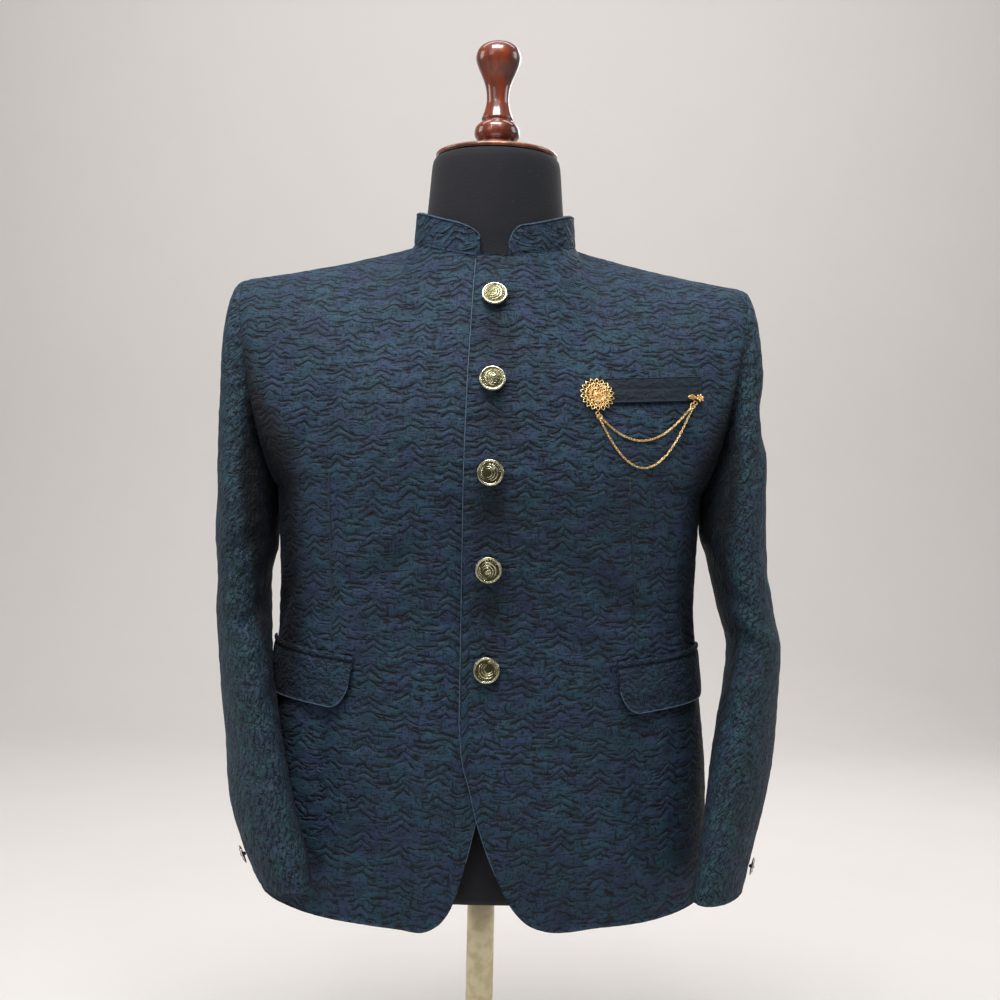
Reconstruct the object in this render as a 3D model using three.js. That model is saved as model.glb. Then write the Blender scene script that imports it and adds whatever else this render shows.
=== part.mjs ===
// A bandhgala jacket of puckered teal jacquard, worn on a limbless dress form with a wooden finial, on a pole stand.
// Millimetres, +Z up. The front faces -Y, and +X is the wearer's left. The origin is under the middle of the base.
import * as THREE from 'three';
import { mergeVertices } from 'three/addons/utils/BufferGeometryUtils.js';

// Driving dimensions.
const WALL = 2;
const SEAM_GAP = 0.4;
const LAID_GAP = 0.9;
const UNDERARM_Z = 690;
const NECK = { halfWidth: 84, front: 75, back: 68, middleY: 12, frontZ: 920, sideZ: 941, backZ: 950 };
const SHOULDER_TIP = { x: 255, y: 6, z: 903 };
const SHOULDER_DIP = 3;
const OVERLAP_LIFT = 2.7;
const SLEEVE_CLEARANCE = 7;
const COLLAR_WALL = 3;
const FLAP = { innerX: 125, topZ: 522, rise: 12, height: 45, corner: 26, wall: 2.4, endC: 0.95 };
const BREAST_WELT = { innerX: 89, outerX: 203, topZ: 795, rise: 8, height: 23, wall: 2.2 };
const BUTTON_RADIUS = 12.5;
const BUTTON_X = 1.5;
const BUTTON_HEIGHTS = [876, 792, 705, 615, 520];
const FORM_BOTTOM_Z = 295;
const FORM_TOP_Z = 1033;
const POLE_RADIUS = 14;
const BASE_RADIUS = 150;

// The body of the jacket, measured level by level from the hem to the underarm.
const BODY = [
  { z: 270, halfWidth: 224, front: 128, back: 118 },
  { z: 340, halfWidth: 227, front: 130, back: 121 },
  { z: 420, halfWidth: 225, front: 128, back: 117 },
  { z: 495, halfWidth: 217, front: 124, back: 109 },
  { z: 560, halfWidth: 211, front: 123, back: 105 },
  { z: 620, halfWidth: 212, front: 128, back: 109 },
  { z: 690, halfWidth: 216, front: 136, back: 118 },
];
const BODY_SQUARENESS = 2.35;

// The lower edge of each front, from its front edge round the cutaway curve to the side: from is the distance
// from the middle of the body.
const HEM_TOP_FRONT = [
  { from: -23, z: 470 },
  { from: -20, z: 437 },
  { from: -12, z: 407 },
  { from: -5, z: 379 },
  { from: 7, z: 345 },
  { from: 24, z: 308 },
  { from: 37, z: 290 },
  { from: 51, z: 280 },
  { from: 73, z: 275 },
  { from: 110, z: 278 },
  { from: 160, z: 280 },
  { from: 230, z: 288 },
];
const HEM_UNDER_FRONT = [
  { from: -23, z: 500 },
  { from: -8, z: 430 },
  { from: 5, z: 379 },
  { from: 14, z: 340 },
  { from: 24, z: 305 },
  { from: 31, z: 290 },
  { from: 41, z: 279 },
  { from: 55, z: 273 },
  { from: 76, z: 275 },
  { from: 110, z: 277 },
  { from: 160, z: 280 },
  { from: 230, z: 288 },
];
const HEM_BACK = [
  { from: 0, z: 284 },
  { from: 120, z: 284 },
  { from: 230, z: 288 },
];
const FRONT_EDGE = [
  { z: 270, x: -22 },
  { z: 600, x: -23.5 },
  { z: 690, x: -23.5 },
];
const FRONT_EDGE_AT_NECK = -17;

// The sleeves from below the underarm to the cuff: outer and inner are distances from the middle of the body,
// y is the middle of the section, halfLength its longer half axis and turn how far its front end turns in.
const SLEEVES = {
  right: {
    side: -1,
    headOut: 20,
    rows: [
      { z: 640, outer: 276, inner: 222, y: -6, halfLength: 72, turn: 0 },
      { z: 575, outer: 275, inner: 221, y: -14, halfLength: 69, turn: 3 },
      { z: 533, outer: 272, inner: 213, y: -28, halfLength: 66, turn: 10 },
      { z: 480, outer: 265, inner: 203, y: -52, halfLength: 63, turn: 17 },
      { z: 440, outer: 258, inner: 192, y: -68, halfLength: 60, turn: 23 },
      { z: 387, outer: 247, inner: 177, y: -94, halfLength: 55, turn: 27 },
      { z: 345, outer: 228, inner: 162, y: -113, halfLength: 50, turn: 27 },
      { z: 318, outer: 213, inner: 156, y: -121, halfLength: 46, turn: 23 },
    ],
    dent: { z: 600, depth: 3, reach: 26 },
  },
  left: {
    side: 1,
    headOut: 13,
    rows: [
      { z: 640, outer: 281, inner: 222, y: -6, halfLength: 72, turn: 0 },
      { z: 575, outer: 290, inner: 235, y: -14, halfLength: 69, turn: 3 },
      { z: 540, outer: 298, inner: 243, y: -20, halfLength: 67, turn: 6 },
      { z: 500, outer: 297, inner: 236, y: -34, halfLength: 65, turn: 12 },
      { z: 440, outer: 291, inner: 222, y: -56, halfLength: 61, turn: 21 },
      { z: 391, outer: 280, inner: 213, y: -76, halfLength: 57, turn: 25 },
      { z: 350, outer: 267, inner: 206, y: -91, halfLength: 54, turn: 25 },
      { z: 310, outer: 254, inner: 198, y: -102, halfLength: 50, turn: 22 },
    ],
    dent: { z: 771, depth: 8, reach: 24 },
  },
};
const SLEEVE_HEAD_SHARE = 0.45;
// The armhole is sewn at equal steps, shared by the panels' rows and the sleeves' columns.
const ARMHOLE_STEPS = 9;
const ARMHOLE_TURN = 180 / ARMHOLE_STEPS;
const TOP_SLEEVE_FROM = -4 * ARMHOLE_TURN;
const TOP_SLEEVE_TO = 6 * ARMHOLE_TURN;

const COLOURS = {
  cloth: { color: 0x213a4b, roughness: 0.85, metalness: 0 },
  clothDark: { color: 0x1b3040, roughness: 0.85, metalness: 0 },
  button: { color: 0x8f8250, roughness: 0.35, metalness: 0.9 },
  steel: { color: 0xb9b9b4, roughness: 0.25, metalness: 1 },
  gold: { color: 0xd9ab5a, roughness: 0.3, metalness: 1 },
  formCloth: { color: 0x1b1d22, roughness: 0.95, metalness: 0 },
  wood: { color: 0x4a170c, roughness: 0.2, metalness: 0 },
  pole: { color: 0xd5c79a, roughness: 0.35, metalness: 0.6 },
  base: { color: 0x2a2a2c, roughness: 0.5, metalness: 0.4 },
};

const UP = new THREE.Vector3(0, 0, 1);
const vec = (x, y, z) => new THREE.Vector3(x, y, z);
const radians = (degrees) => (degrees * Math.PI) / 180;
const mix = (a, b, t) => a + (b - a) * t;
const clamp = (t) => Math.min(1, Math.max(0, t));
const ease = (from, to, at) => {
  const t = clamp((at - from) / (to - from));
  return t * t * (3 - 2 * t);
};
const steps = (count, bend = 1) => Array.from({ length: count + 1 }, (_, i) => (i / count) ** bend);

// A smooth value between the rows of a table: column is read at the given place along key.
function lookup(rows, key, column, at) {
  const rising = rows[0][key] < rows[rows.length - 1][key];
  const list = rising ? rows : [...rows].reverse();
  const last = list.length - 1;
  const place = Math.min(Math.max(at, list[0][key]), list[last][key]);
  let i = 0;
  while (i < last - 1 && list[i + 1][key] < place) i += 1;
  const slope = (k) => {
    const low = list[Math.max(0, k - 1)];
    const high = list[Math.min(last, k + 1)];
    return (high[column] - low[column]) / (high[key] - low[key]);
  };
  const width = list[i + 1][key] - list[i][key];
  const t = (place - list[i][key]) / width;
  const a = list[i][column];
  const b = list[i + 1][column];
  const bend = t * (1 - t) * ((1 - t) * (slope(i) * width - (b - a)) - t * (slope(i + 1) * width - (b - a)));
  return mix(a, b, t) + bend;
}

// The value in low..high at which a rising function reaches the goal.
function solve(rising, goal, low, high) {
  let a = low;
  let b = high;
  for (let i = 0; i < 32; i += 1) {
    const middle = (a + b) / 2;
    if (rising(middle) < goal) a = middle;
    else b = middle;
  }
  return (a + b) / 2;
}

function bezier(p0, p1, p2, p3, t) {
  const s = 1 - t;
  return vec(0, 0, 0)
    .addScaledVector(p0, s * s * s)
    .addScaledVector(p1, 3 * s * s * t)
    .addScaledVector(p2, 3 * s * t * t)
    .addScaledVector(p3, t * t * t);
}

// The body below the underarm: around is 0 at the middle of the front or back and 1 or -1 at the side seams.
function bodyRing(face, around, z) {
  const half = lookup(BODY, 'z', 'halfWidth', z);
  const depth = lookup(BODY, 'z', face === 'front' ? 'front' : 'back', z);
  const angle = radians(around * 90);
  const x = Math.abs(Math.sin(angle)) / half;
  const y = Math.abs(Math.cos(angle)) / depth;
  const reach = (x ** BODY_SQUARENESS + y ** BODY_SQUARENESS) ** (-1 / BODY_SQUARENESS);
  const facing = face === 'front' ? -1 : 1;
  return vec(reach * Math.sin(angle), facing * reach * Math.cos(angle), z);
}

// The neckline runs over the first share of the top edge, and the shoulder seam over the rest.
const NECK_SHARE = { front: 0.4, back: 0.4 };

function topEdge(face, around) {
  const share = NECK_SHARE[face];
  const side = Math.sign(around) || 1;
  const facing = face === 'front' ? -1 : 1;
  if (Math.abs(around) <= share) {
    const angle = radians((around / share) * 90);
    const middleZ = face === 'front' ? NECK.frontZ : NECK.backZ;
    const z = mix(middleZ, NECK.sideZ, Math.sin(angle) ** 2);
    return vec(NECK.halfWidth * Math.sin(angle), NECK.middleY + facing * NECK[face] * Math.cos(angle), z);
  }
  const along = (Math.abs(around) - share) / (1 - share);
  return vec(
    side * mix(NECK.halfWidth, SHOULDER_TIP.x, along),
    mix(NECK.middleY, SHOULDER_TIP.y, along),
    mix(NECK.sideZ, SHOULDER_TIP.z, along) - SHOULDER_DIP * Math.sin(Math.PI * along),
  );
}

// Where the chest and the upper back are at the level from which they turn in to the neckline and shoulder seam.
const UPPER = {
  front: { forward: 4, middleY: 97, middleZ: 858, shoulderY: 54, shoulderZ: 894, edgeY: 72 },
  back: { forward: 2, middleY: 112, middleZ: 886, shoulderY: 76, shoulderZ: 894, edgeY: 84 },
  edgeZ: 887,
  widening: 1.225,
};

// From the underarm level to the neckline, the shoulder seam and the armhole: rise runs from 0 to 1.
function bodyUpper(face, around, rise) {
  const side = Math.sign(around) || 1;
  const out = Math.abs(around);
  const facing = face === 'front' ? -1 : 1;
  const edge = ease(0.55, 1, out);
  const low = bodyRing(face, around, UNDERARM_Z);
  const top = topEdge(face, around);
  const { forward, middleY, middleZ, shoulderY, shoulderZ, edgeY } = UPPER[face];
  const leave = low.clone().add(vec(side * 12 * out ** 4, facing * mix(forward, 70, edge), mix(82, 14, edge)));
  const overShoulder = ease(0, 0.6, out);
  const arrive = vec(
    low.x * UPPER.widening,
    facing * mix(mix(middleY, shoulderY, overShoulder), edgeY, edge),
    mix(mix(middleZ, shoulderZ, overShoulder), UPPER.edgeZ, edge),
  );
  return bezier(low, leave, arrive, top, rise);
}

// One surface for the whole body: height is the level in mm up to the underarm, then UNDERARM_Z + rise.
function bodyPoint(face, around, height) {
  if (height <= UNDERARM_Z) return bodyRing(face, around, height);
  return bodyUpper(face, around, height - UNDERARM_Z);
}

function unitNormal(surface, a, b, stepA, stepB) {
  const alongA = surface(a + stepA, b).sub(surface(a - stepA, b));
  const alongB = surface(a, b + stepB).sub(surface(a, b - stepB));
  return alongA.cross(alongB).normalize();
}

// Outward on the body. At the shoulder seam both faces share the upward normal.
function bodyNormal(face, around, height) {
  const level = height > UNDERARM_Z ? Math.min(height, UNDERARM_Z + 0.998) : Math.min(height, UNDERARM_Z - 0.02);
  const stepB = height > UNDERARM_Z ? 0.002 : 0.02;
  const out = Math.min(Math.max(around, -0.998), 0.998);
  const from = height > UNDERARM_Z ? Math.max(level, UNDERARM_Z + 0.003) : level;
  const normal = unitNormal((a, b) => bodyPoint(face, a, b), out, from, 0.002, stepB);
  if (face === 'back') normal.negate();
  const rise = height - UNDERARM_Z;
  const atSeam = ease(0.85, 1, rise) * ease(NECK_SHARE[face] * 0.7, NECK_SHARE[face], Math.abs(around));
  return normal.lerp(UP, atSeam).normalize();
}

// The place on the front at a given x and z, as its surface coordinates.
function frontAt(x, z) {
  const aroundFor = (height) => solve((a) => bodyPoint('front', a, height).x, x, -0.999, 0.999);
  if (z <= UNDERARM_Z) return { around: aroundFor(z), height: z };
  const level = (rise) => bodyPoint('front', aroundFor(UNDERARM_Z + rise), UNDERARM_Z + rise).z;
  const height = UNDERARM_Z + solve(level, z, 0.0001, 0.9999);
  return { around: aroundFor(height), height };
}

function frontPoint(x, z, lift = 0) {
  const { around, height } = frontAt(x, z);
  const normal = bodyNormal('front', around, height);
  return { point: bodyPoint('front', around, height).addScaledVector(normal, lift), normal };
}

// A closed body from triangles of points: equal points are joined and triangles with no area are dropped.
function solidFrom(triangles) {
  const soup = new THREE.BufferGeometry();
  soup.setAttribute('position', new THREE.Float32BufferAttribute(triangles.flat().flatMap((p) => [p.x, p.y, p.z]), 3));
  const merged = mergeVertices(soup, 0.002);
  const index = merged.getIndex().array;
  const kept = [];
  for (let i = 0; i < index.length; i += 3) {
    const [a, b, c] = [index[i], index[i + 1], index[i + 2]];
    if (a !== b && b !== c && a !== c) kept.push([a, b, c]);
  }
  const at = (i) => vec(0, 0, 0).fromBufferAttribute(merged.getAttribute('position'), i);
  const volume = kept.reduce((sum, [a, b, c]) => sum + at(a).dot(at(b).cross(at(c))), 0);
  merged.setIndex(kept.flatMap(([a, b, c]) => (volume > 0 ? [a, b, c] : [a, c, b])));
  merged.computeVertexNormals();
  return merged;
}

const quad = (a, b, c, d) => [[a, b, c], [a, c, d]];

// A wall from a grid of { outer, inner } points.
function wallFrom(grid) {
  const triangles = [];
  const rows = grid.length - 1;
  const columns = grid[0].length - 1;
  for (let i = 0; i < rows; i += 1) {
    for (let j = 0; j < columns; j += 1) {
      const [a, b, c, d] = [grid[i][j], grid[i][j + 1], grid[i + 1][j + 1], grid[i + 1][j]];
      triangles.push(...quad(a.outer, b.outer, c.outer, d.outer), ...quad(a.inner, d.inner, c.inner, b.inner));
    }
  }
  const rim = (a, b) => triangles.push(...quad(a.outer, a.inner, b.inner, b.outer));
  for (let j = 0; j < columns; j += 1) {
    rim(grid[0][j], grid[0][j + 1]);
    rim(grid[rows][j + 1], grid[rows][j]);
  }
  for (let i = 0; i < rows; i += 1) {
    rim(grid[i + 1][0], grid[i][0]);
    rim(grid[i][columns], grid[i + 1][columns]);
  }
  return solidFrom(triangles);
}

// The faces between rings of points, each ring closed on itself.
function ringSides(rings) {
  const triangles = [];
  const count = rings[0].length;
  for (let i = 0; i < rings.length - 1; i += 1) {
    for (let j = 0; j < count; j += 1) {
      const k = (j + 1) % count;
      triangles.push(...quad(rings[i][j], rings[i][k], rings[i + 1][k], rings[i + 1][j]));
    }
  }
  return triangles;
}

// A closed body from rings, capped at both ends round its own middle.
function ringsSolid(rings) {
  return solidFrom([...ringSides(rings), ...fan(rings[0], true), ...fan(rings[rings.length - 1], false)]);
}

function fan(ring, flipped) {
  const middle = ring.reduce((sum, p) => sum.add(p), vec(0, 0, 0)).divideScalar(ring.length);
  return ring.map((p, j) => {
    const next = ring[(j + 1) % ring.length];
    return flipped ? [middle, next, p] : [middle, p, next];
  });
}

const jacket = new THREE.Group();
const dressForm = new THREE.Group();

function addPiece(group, name, geometry, look) {
  const mesh = new THREE.Mesh(geometry, new THREE.MeshStandardMaterial({ ...look }));
  mesh.name = name;
  group.add(mesh);
  return mesh;
}

// Fronts and backs. A front starts at its own front edge, past the middle, and ends at the side seam and armhole.
const SIDE_EDGE = 0.9994;
const TOP_RISE = 0.9985;

function frontEdgeAround(height) {
  const rise = clamp(height - UNDERARM_Z);
  const x = height <= UNDERARM_Z ? lookup(FRONT_EDGE, 'z', 'x', height) : mix(-23.5, FRONT_EDGE_AT_NECK, rise ** 1.5);
  return solve((a) => bodyPoint('front', a, height).x, x, -0.6, 0.6);
}

function panelGrid({ face, side, hem, lift, columns, lowRows }) {
  const start = (height) => (face === 'front' ? frontEdgeAround(height) : 0.0012);
  const heightsFor = (column) => {
    let bottom = hem[hem.length - 1].z;
    for (let i = 0; i < 6; i += 1) {
      const place = bodyPoint(face, mix(start(bottom), SIDE_EDGE, column), bottom);
      bottom = lookup(hem, 'from', 'z', place.x);
    }
    const low = steps(lowRows).map((t) => mix(bottom, UNDERARM_Z, t));
    const high = steps(ARMHOLE_STEPS).slice(1).map((t) => UNDERARM_Z + t * TOP_RISE);
    return [...low, ...high];
  };
  const columnsOut = steps(columns, face === 'front' ? 1.5 : 1).map((column) =>
    heightsFor(column).map((height) => {
      const around = mix(start(height), SIDE_EDGE, column);
      const point = bodyPoint(face, around, height);
      const normal = bodyNormal(face, around, height);
      const outer = point.clone().addScaledVector(normal, lift(point.x));
      const inner = outer.clone().addScaledVector(normal, -WALL);
      const placed = (p) => vec(side * p.x, p.y, p.z);
      return { outer: placed(outer), inner: placed(inner) };
    }),
  );
  return columnsOut;
}

const noLift = () => 0;
const overlapLift = (x) => OVERLAP_LIFT * (1 - ease(26, 80, x));

function addBody() {
  const front = { face: 'front', columns: 16, lowRows: 9 };
  const back = { face: 'back', columns: 10, lowRows: 8, hem: HEM_BACK, lift: noLift };
  const topFront = panelGrid({ ...front, side: 1, hem: HEM_TOP_FRONT, lift: overlapLift });
  const underFront = panelGrid({ ...front, side: -1, hem: HEM_UNDER_FRONT, lift: noLift });
  addPiece(jacket, 'front_left', wallFrom(topFront), COLOURS.cloth);
  addPiece(jacket, 'front_right', wallFrom(underFront), COLOURS.cloth);
  addPiece(jacket, 'back_left', wallFrom(panelGrid({ ...back, side: 1 })), COLOURS.cloth);
  addPiece(jacket, 'back_right', wallFrom(panelGrid({ ...back, side: -1 })), COLOURS.cloth);
}

// Sleeves. turn runs round the sleeve: 0 is its outer side, 90 its front and 180 the side next to the body.
function sleeveSection(sleeve, turn, z) {
  const row = (column) => lookup(sleeve.rows, 'z', column, z);
  const angle = radians(row('turn'));
  const halfLength = row('halfLength');
  const halfReach = (row('outer') - row('inner')) / 2;
  const lean = halfLength * Math.sin(angle);
  const halfThick = Math.sqrt(Math.max(halfReach ** 2 - lean ** 2, 120)) / Math.cos(angle);
  const thick = halfThick * Math.cos(radians(turn));
  const long = -halfLength * Math.sin(radians(turn));
  const x = (row('outer') + row('inner')) / 2 + thick * Math.cos(angle) + long * Math.sin(angle);
  const y = row('y') - thick * Math.sin(angle) + long * Math.cos(angle);
  return keepClear(vec(x, y, z));
}

// Moves a sleeve point out of the body's reach, level by level.
function keepClear(p) {
  const half = lookup(BODY, 'z', 'halfWidth', p.z) + SLEEVE_CLEARANCE;
  const depth = lookup(BODY, 'z', p.y < 0 ? 'front' : 'back', p.z) + SLEEVE_CLEARANCE;
  const size = (Math.abs(p.x) / half) ** BODY_SQUARENESS + (Math.abs(p.y) / depth) ** BODY_SQUARENESS;
  const reach = size ** (1 / BODY_SQUARENESS);
  return reach < 1 ? vec(p.x / reach, p.y / reach, p.z) : p;
}

// The armhole edge of the body at the same turn, with the direction in which the sleeve leaves it.
function armholeEdge(turn) {
  const wrapped = ((turn % 360) + 360) % 360;
  const face = wrapped <= 180 ? 'front' : 'back';
  const down = wrapped <= 180 ? wrapped / 180 : (360 - wrapped) / 180;
  const rise = Math.min(1 - down, TOP_RISE);
  const point = bodyUpper(face, 1, rise);
  const step = 0.004;
  const along = bodyUpper(face, 1, Math.min(1, rise + step)).sub(bodyUpper(face, 1, Math.max(0, rise - step)));
  const normal = bodyNormal(face, SIDE_EDGE, UNDERARM_Z + Math.max(rise, 0.0001));
  const outward = along.cross(normal).normalize();
  if (face === 'back') outward.negate();
  const bottom = ease(0.16, 0, rise);
  const top = ease(0.84, 1, rise);
  outward.lerp(UP, bottom).lerp(vec(1, 0, -0.2), top).normalize();
  return { point, outward };
}

function sleevePoint(sleeve, turn, along) {
  const first = sleeve.rows[0].z;
  const last = sleeve.rows[sleeve.rows.length - 1].z;
  if (along > SLEEVE_HEAD_SHARE) {
    const z = mix(first, last, (along - SLEEVE_HEAD_SHARE) / (1 - SLEEVE_HEAD_SHARE));
    return dented(sleeve, turn, sleeveSection(sleeve, turn, z));
  }
  const { point, outward } = armholeEdge(turn);
  const under = (1 - Math.cos(radians(turn))) / 2;
  const start = point.clone().addScaledVector(outward, SEAM_GAP);
  const leave = start.clone().addScaledVector(outward, mix(sleeve.headOut, 13, under));
  const end = sleeveSection(sleeve, turn, first);
  const arrive = end.clone().addScaledVector(UP, mix(185, 46, under));
  return dented(sleeve, turn, bezier(start, leave, arrive, end, along / SLEEVE_HEAD_SHARE));
}

function dented(sleeve, turn, p) {
  const { z, depth, reach } = sleeve.dent;
  const near = Math.exp(-(((p.z - z) / reach) ** 2)) * Math.max(0, Math.cos(radians(turn))) ** 2;
  return vec(p.x - depth * near, p.y, p.z);
}

function sleeveNormal(sleeve, turn, along) {
  const inside = Math.min(Math.max(along, 0.004), 0.997);
  const atJoin = Math.abs(inside - SLEEVE_HEAD_SHARE) < 0.004 ? SLEEVE_HEAD_SHARE - 0.005 : inside;
  return unitNormal((a, b) => sleevePoint(sleeve, a, b), turn, atJoin, 1, 0.003);
}

function sleeveGrid(sleeve, from, to) {
  const gapTurn = 0.35;
  const columns = Math.round((to - from) / ARMHOLE_TURN);
  const head = steps(9, 1.5).map((t) => t * SLEEVE_HEAD_SHARE);
  const arm = steps(10).slice(1).map((t) => mix(SLEEVE_HEAD_SHARE, 1, t));
  return steps(columns).map((t) => {
    const turn = Math.min(Math.max(mix(from, to, t), from + gapTurn), to - gapTurn);
    return [...head, ...arm].map((along) => {
      const outer = sleevePoint(sleeve, turn, along);
      const normal = sleeveNormal(sleeve, turn, along);
      const inner = outer.clone().addScaledVector(normal, -WALL);
      const placed = (p) => vec(sleeve.side * p.x, p.y, p.z);
      return { outer: placed(outer), inner: placed(inner) };
    });
  });
}

function addSleeves() {
  for (const [name, sleeve] of Object.entries(SLEEVES)) {
    const top = sleeveGrid(sleeve, TOP_SLEEVE_FROM, TOP_SLEEVE_TO);
    const under = sleeveGrid(sleeve, TOP_SLEEVE_TO, TOP_SLEEVE_FROM + 360);
    addPiece(jacket, `top_sleeve_${name}`, wallFrom(top), COLOURS.cloth);
    addPiece(jacket, `under_sleeve_${name}`, wallFrom(under), COLOURS.cloth);
  }
}

// The stand collar, from its right front end round the back to its left front end. Its ends stay apart.
const COLLAR = {
  fromDegrees: 10,
  toDegrees: 350,
  frontHeight: 29,
  sideHeight: 32,
  backHeight: 39,
  topInset: 2,
  ends: { left: { height: 7, round: 13 }, right: { height: 17, round: 26 } },
};

function necklineAt(degrees) {
  const angle = radians(degrees);
  const back = Math.cos(angle) < 0;
  const depth = back ? NECK.back : NECK.front;
  const middleZ = back ? NECK.backZ : NECK.frontZ;
  const z = mix(middleZ, NECK.sideZ, Math.sin(angle) ** 2);
  return vec(NECK.halfWidth * Math.sin(angle), NECK.middleY - depth * Math.cos(angle), z);
}

function collarHeight(degrees) {
  const side = Math.sin(radians(degrees)) ** 2;
  const middle = Math.cos(radians(degrees)) < 0 ? COLLAR.backHeight : COLLAR.frontHeight;
  const full = mix(middle, COLLAR.sideHeight, side);
  const end = degrees < 180 ? COLLAR.ends.left : COLLAR.ends.right;
  const fromEnd = degrees < 180 ? degrees - COLLAR.fromDegrees : COLLAR.toDegrees - degrees;
  const near = clamp((radians(fromEnd) * NECK.front) / end.round);
  return mix(end.height, full, Math.sqrt(1 - (1 - near) ** 2));
}

function addCollar() {
  const near = steps(6, 1.4).map((t) => t * 24);
  const degrees = [
    ...near.map((t) => COLLAR.fromDegrees + t),
    ...steps(18).slice(1, -1).map((t) => mix(COLLAR.fromDegrees + 24, COLLAR.toDegrees - 24, t)),
    ...near.map((t) => COLLAR.toDegrees - t).reverse(),
  ];
  const grid = degrees.map((at) => {
    const foot = necklineAt(at);
    const inward = vec(-Math.sin(radians(at)), Math.cos(radians(at)), 0);
    return steps(3).map((t) => {
      const outer = foot.clone().addScaledVector(inward, COLLAR.topInset * t);
      outer.z += SEAM_GAP + collarHeight(at) * t;
      return { outer, inner: outer.clone().addScaledVector(inward, COLLAR_WALL) };
    });
  });
  addPiece(jacket, 'collar', wallFrom(grid), COLOURS.clothDark);
}

// Pieces that lie on a front: grid of places on the surface, moved out by the lift.
function laidOn(side, places, lift, wall) {
  const grid = places.map((column) =>
    column.map(({ around, height, extra = 0 }) => {
      const normal = bodyNormal('front', around, height);
      const point = bodyPoint('front', around, height).addScaledVector(normal, lift + extra);
      const placed = (p) => vec(side * p.x, p.y, p.z);
      return { outer: placed(point.clone().addScaledVector(normal, wall)), inner: placed(point) };
    }),
  );
  return wallFrom(grid);
}

function flapPlaces(from, to, columns, rowHeights, liftAt) {
  const startAround = frontAt(FLAP.innerX, FLAP.topZ).around;
  return steps(columns).map((t) => {
    const around = mix(startAround, FLAP.endC, t);
    const top = FLAP.topZ + FLAP.rise * t;
    const fromEnd = Math.min(t, 1 - t) * FLAP_LENGTH;
    const near = clamp(fromEnd / FLAP.corner);
    const drop = mix(8, FLAP.height, Math.sqrt(1 - (1 - near) ** 2));
    return rowHeights.map((r) => ({
      around,
      height: top + mix(from, to(drop), r),
      extra: liftAt(t, r),
    }));
  });
}

const FLAP_LENGTH = 145;
const WELT_HEIGHT = 6;

function addPockets() {
  for (const [name, side] of [['left', 1], ['right', -1]]) {
    const cornerLift = side < 0 ? 4 : 2;
    const lifted = (t, r) => cornerLift * (1 - ease(0, 0.3, t)) * r ** 2;
    const flap = flapPlaces(0, (drop) => -drop, 12, steps(4), lifted);
    const welt = flapPlaces(0.4, () => WELT_HEIGHT, 10, steps(1), () => 0);
    addPiece(jacket, `pocket_flap_${name}`, laidOn(side, flap, LAID_GAP, FLAP.wall), COLOURS.cloth);
    addPiece(jacket, `pocket_welt_${name}`, laidOn(side, welt, LAID_GAP, FLAP.wall), COLOURS.clothDark);
  }
  const breast = steps(10).map((t) =>
    steps(2).map((r) => {
      const x = mix(BREAST_WELT.innerX, BREAST_WELT.outerX, t);
      const top = BREAST_WELT.topZ + BREAST_WELT.rise * t;
      return frontAt(x, top - BREAST_WELT.height * r);
    }),
  );
  addPiece(jacket, 'breast_welt', laidOn(1, breast, LAID_GAP, BREAST_WELT.wall), COLOURS.clothDark);
}

// Buttons: a shallow dome with a rim and a short shank, turned so that its axis leaves the cloth squarely.
function buttonGeometry(radius) {
  const profile = [
    [0, 0],
    [0.28, 0],
    [0.28, 0.16],
    [0.86, 0.2],
    [1, 0.27],
    [1, 0.36],
    [0.88, 0.42],
    [0.8, 0.37],
    [0.45, 0.46],
    [0, 0.5],
  ];
  return closedLathe(profile.map(([r, h]) => new THREE.Vector2(r * radius, h * radius)), 18);
}

// A lathe along +Z, with its axis points joined.
function closedLathe(points, segments) {
  const lathe = new THREE.LatheGeometry(points, segments);
  lathe.rotateX(Math.PI / 2);
  const flat = lathe.toNonIndexed().getAttribute('position');
  const corner = (i) => vec(0, 0, 0).fromBufferAttribute(flat, i);
  const triangles = [];
  for (let i = 0; i < flat.count; i += 3) triangles.push([corner(i), corner(i + 1), corner(i + 2)]);
  return solidFrom(triangles);
}

function seat(mesh, point, normal) {
  mesh.position.copy(point);
  mesh.quaternion.setFromUnitVectors(UP, normal.clone().normalize());
}

function addButtons() {
  BUTTON_HEIGHTS.forEach((z, i) => {
    const { point, normal } = frontPoint(BUTTON_X, z, OVERLAP_LIFT + SEAM_GAP);
    seat(addPiece(jacket, `front_button_${i + 1}`, buttonGeometry(BUTTON_RADIUS), COLOURS.button), point, normal);
  });
  for (const [name, sleeve] of Object.entries(SLEEVES)) {
    const cuff = sleeve.rows[sleeve.rows.length - 1].z;
    const along = mix(SLEEVE_HEAD_SHARE, 1, (sleeve.rows[0].z - (cuff + 22)) / (sleeve.rows[0].z - cuff));
    const normal = sleeveNormal(sleeve, -22, along);
    const point = sleevePoint(sleeve, -22, along).addScaledVector(normal, SEAM_GAP);
    const mirrored = (p) => vec(sleeve.side * p.x, p.y, p.z);
    const mesh = addPiece(jacket, `cuff_button_${name}`, buttonGeometry(9), COLOURS.steel);
    seat(mesh, mirrored(point), mirrored(normal));
  }
}

// The ornament on the breast pocket: a sunburst brooch, a leaf pin and two chains between them.
const BROOCH = { x: 100, z: 780, radius: 17, rays: 18, thickness: 3 };
const LEAF_PIN = { x: 197, z: 782, length: 17, width: 11, thickness: 2.4 };
const CHAINS = [
  { name: 'brooch_chain_upper', sag: 27, fromX: 105, toX: 191 },
  { name: 'brooch_chain_lower', sag: 53, fromX: 102, toX: 194 },
];
const CHAIN_THICKNESS = 1.6;
const ON_WELT = LAID_GAP + BREAST_WELT.wall + SEAM_GAP;

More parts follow.
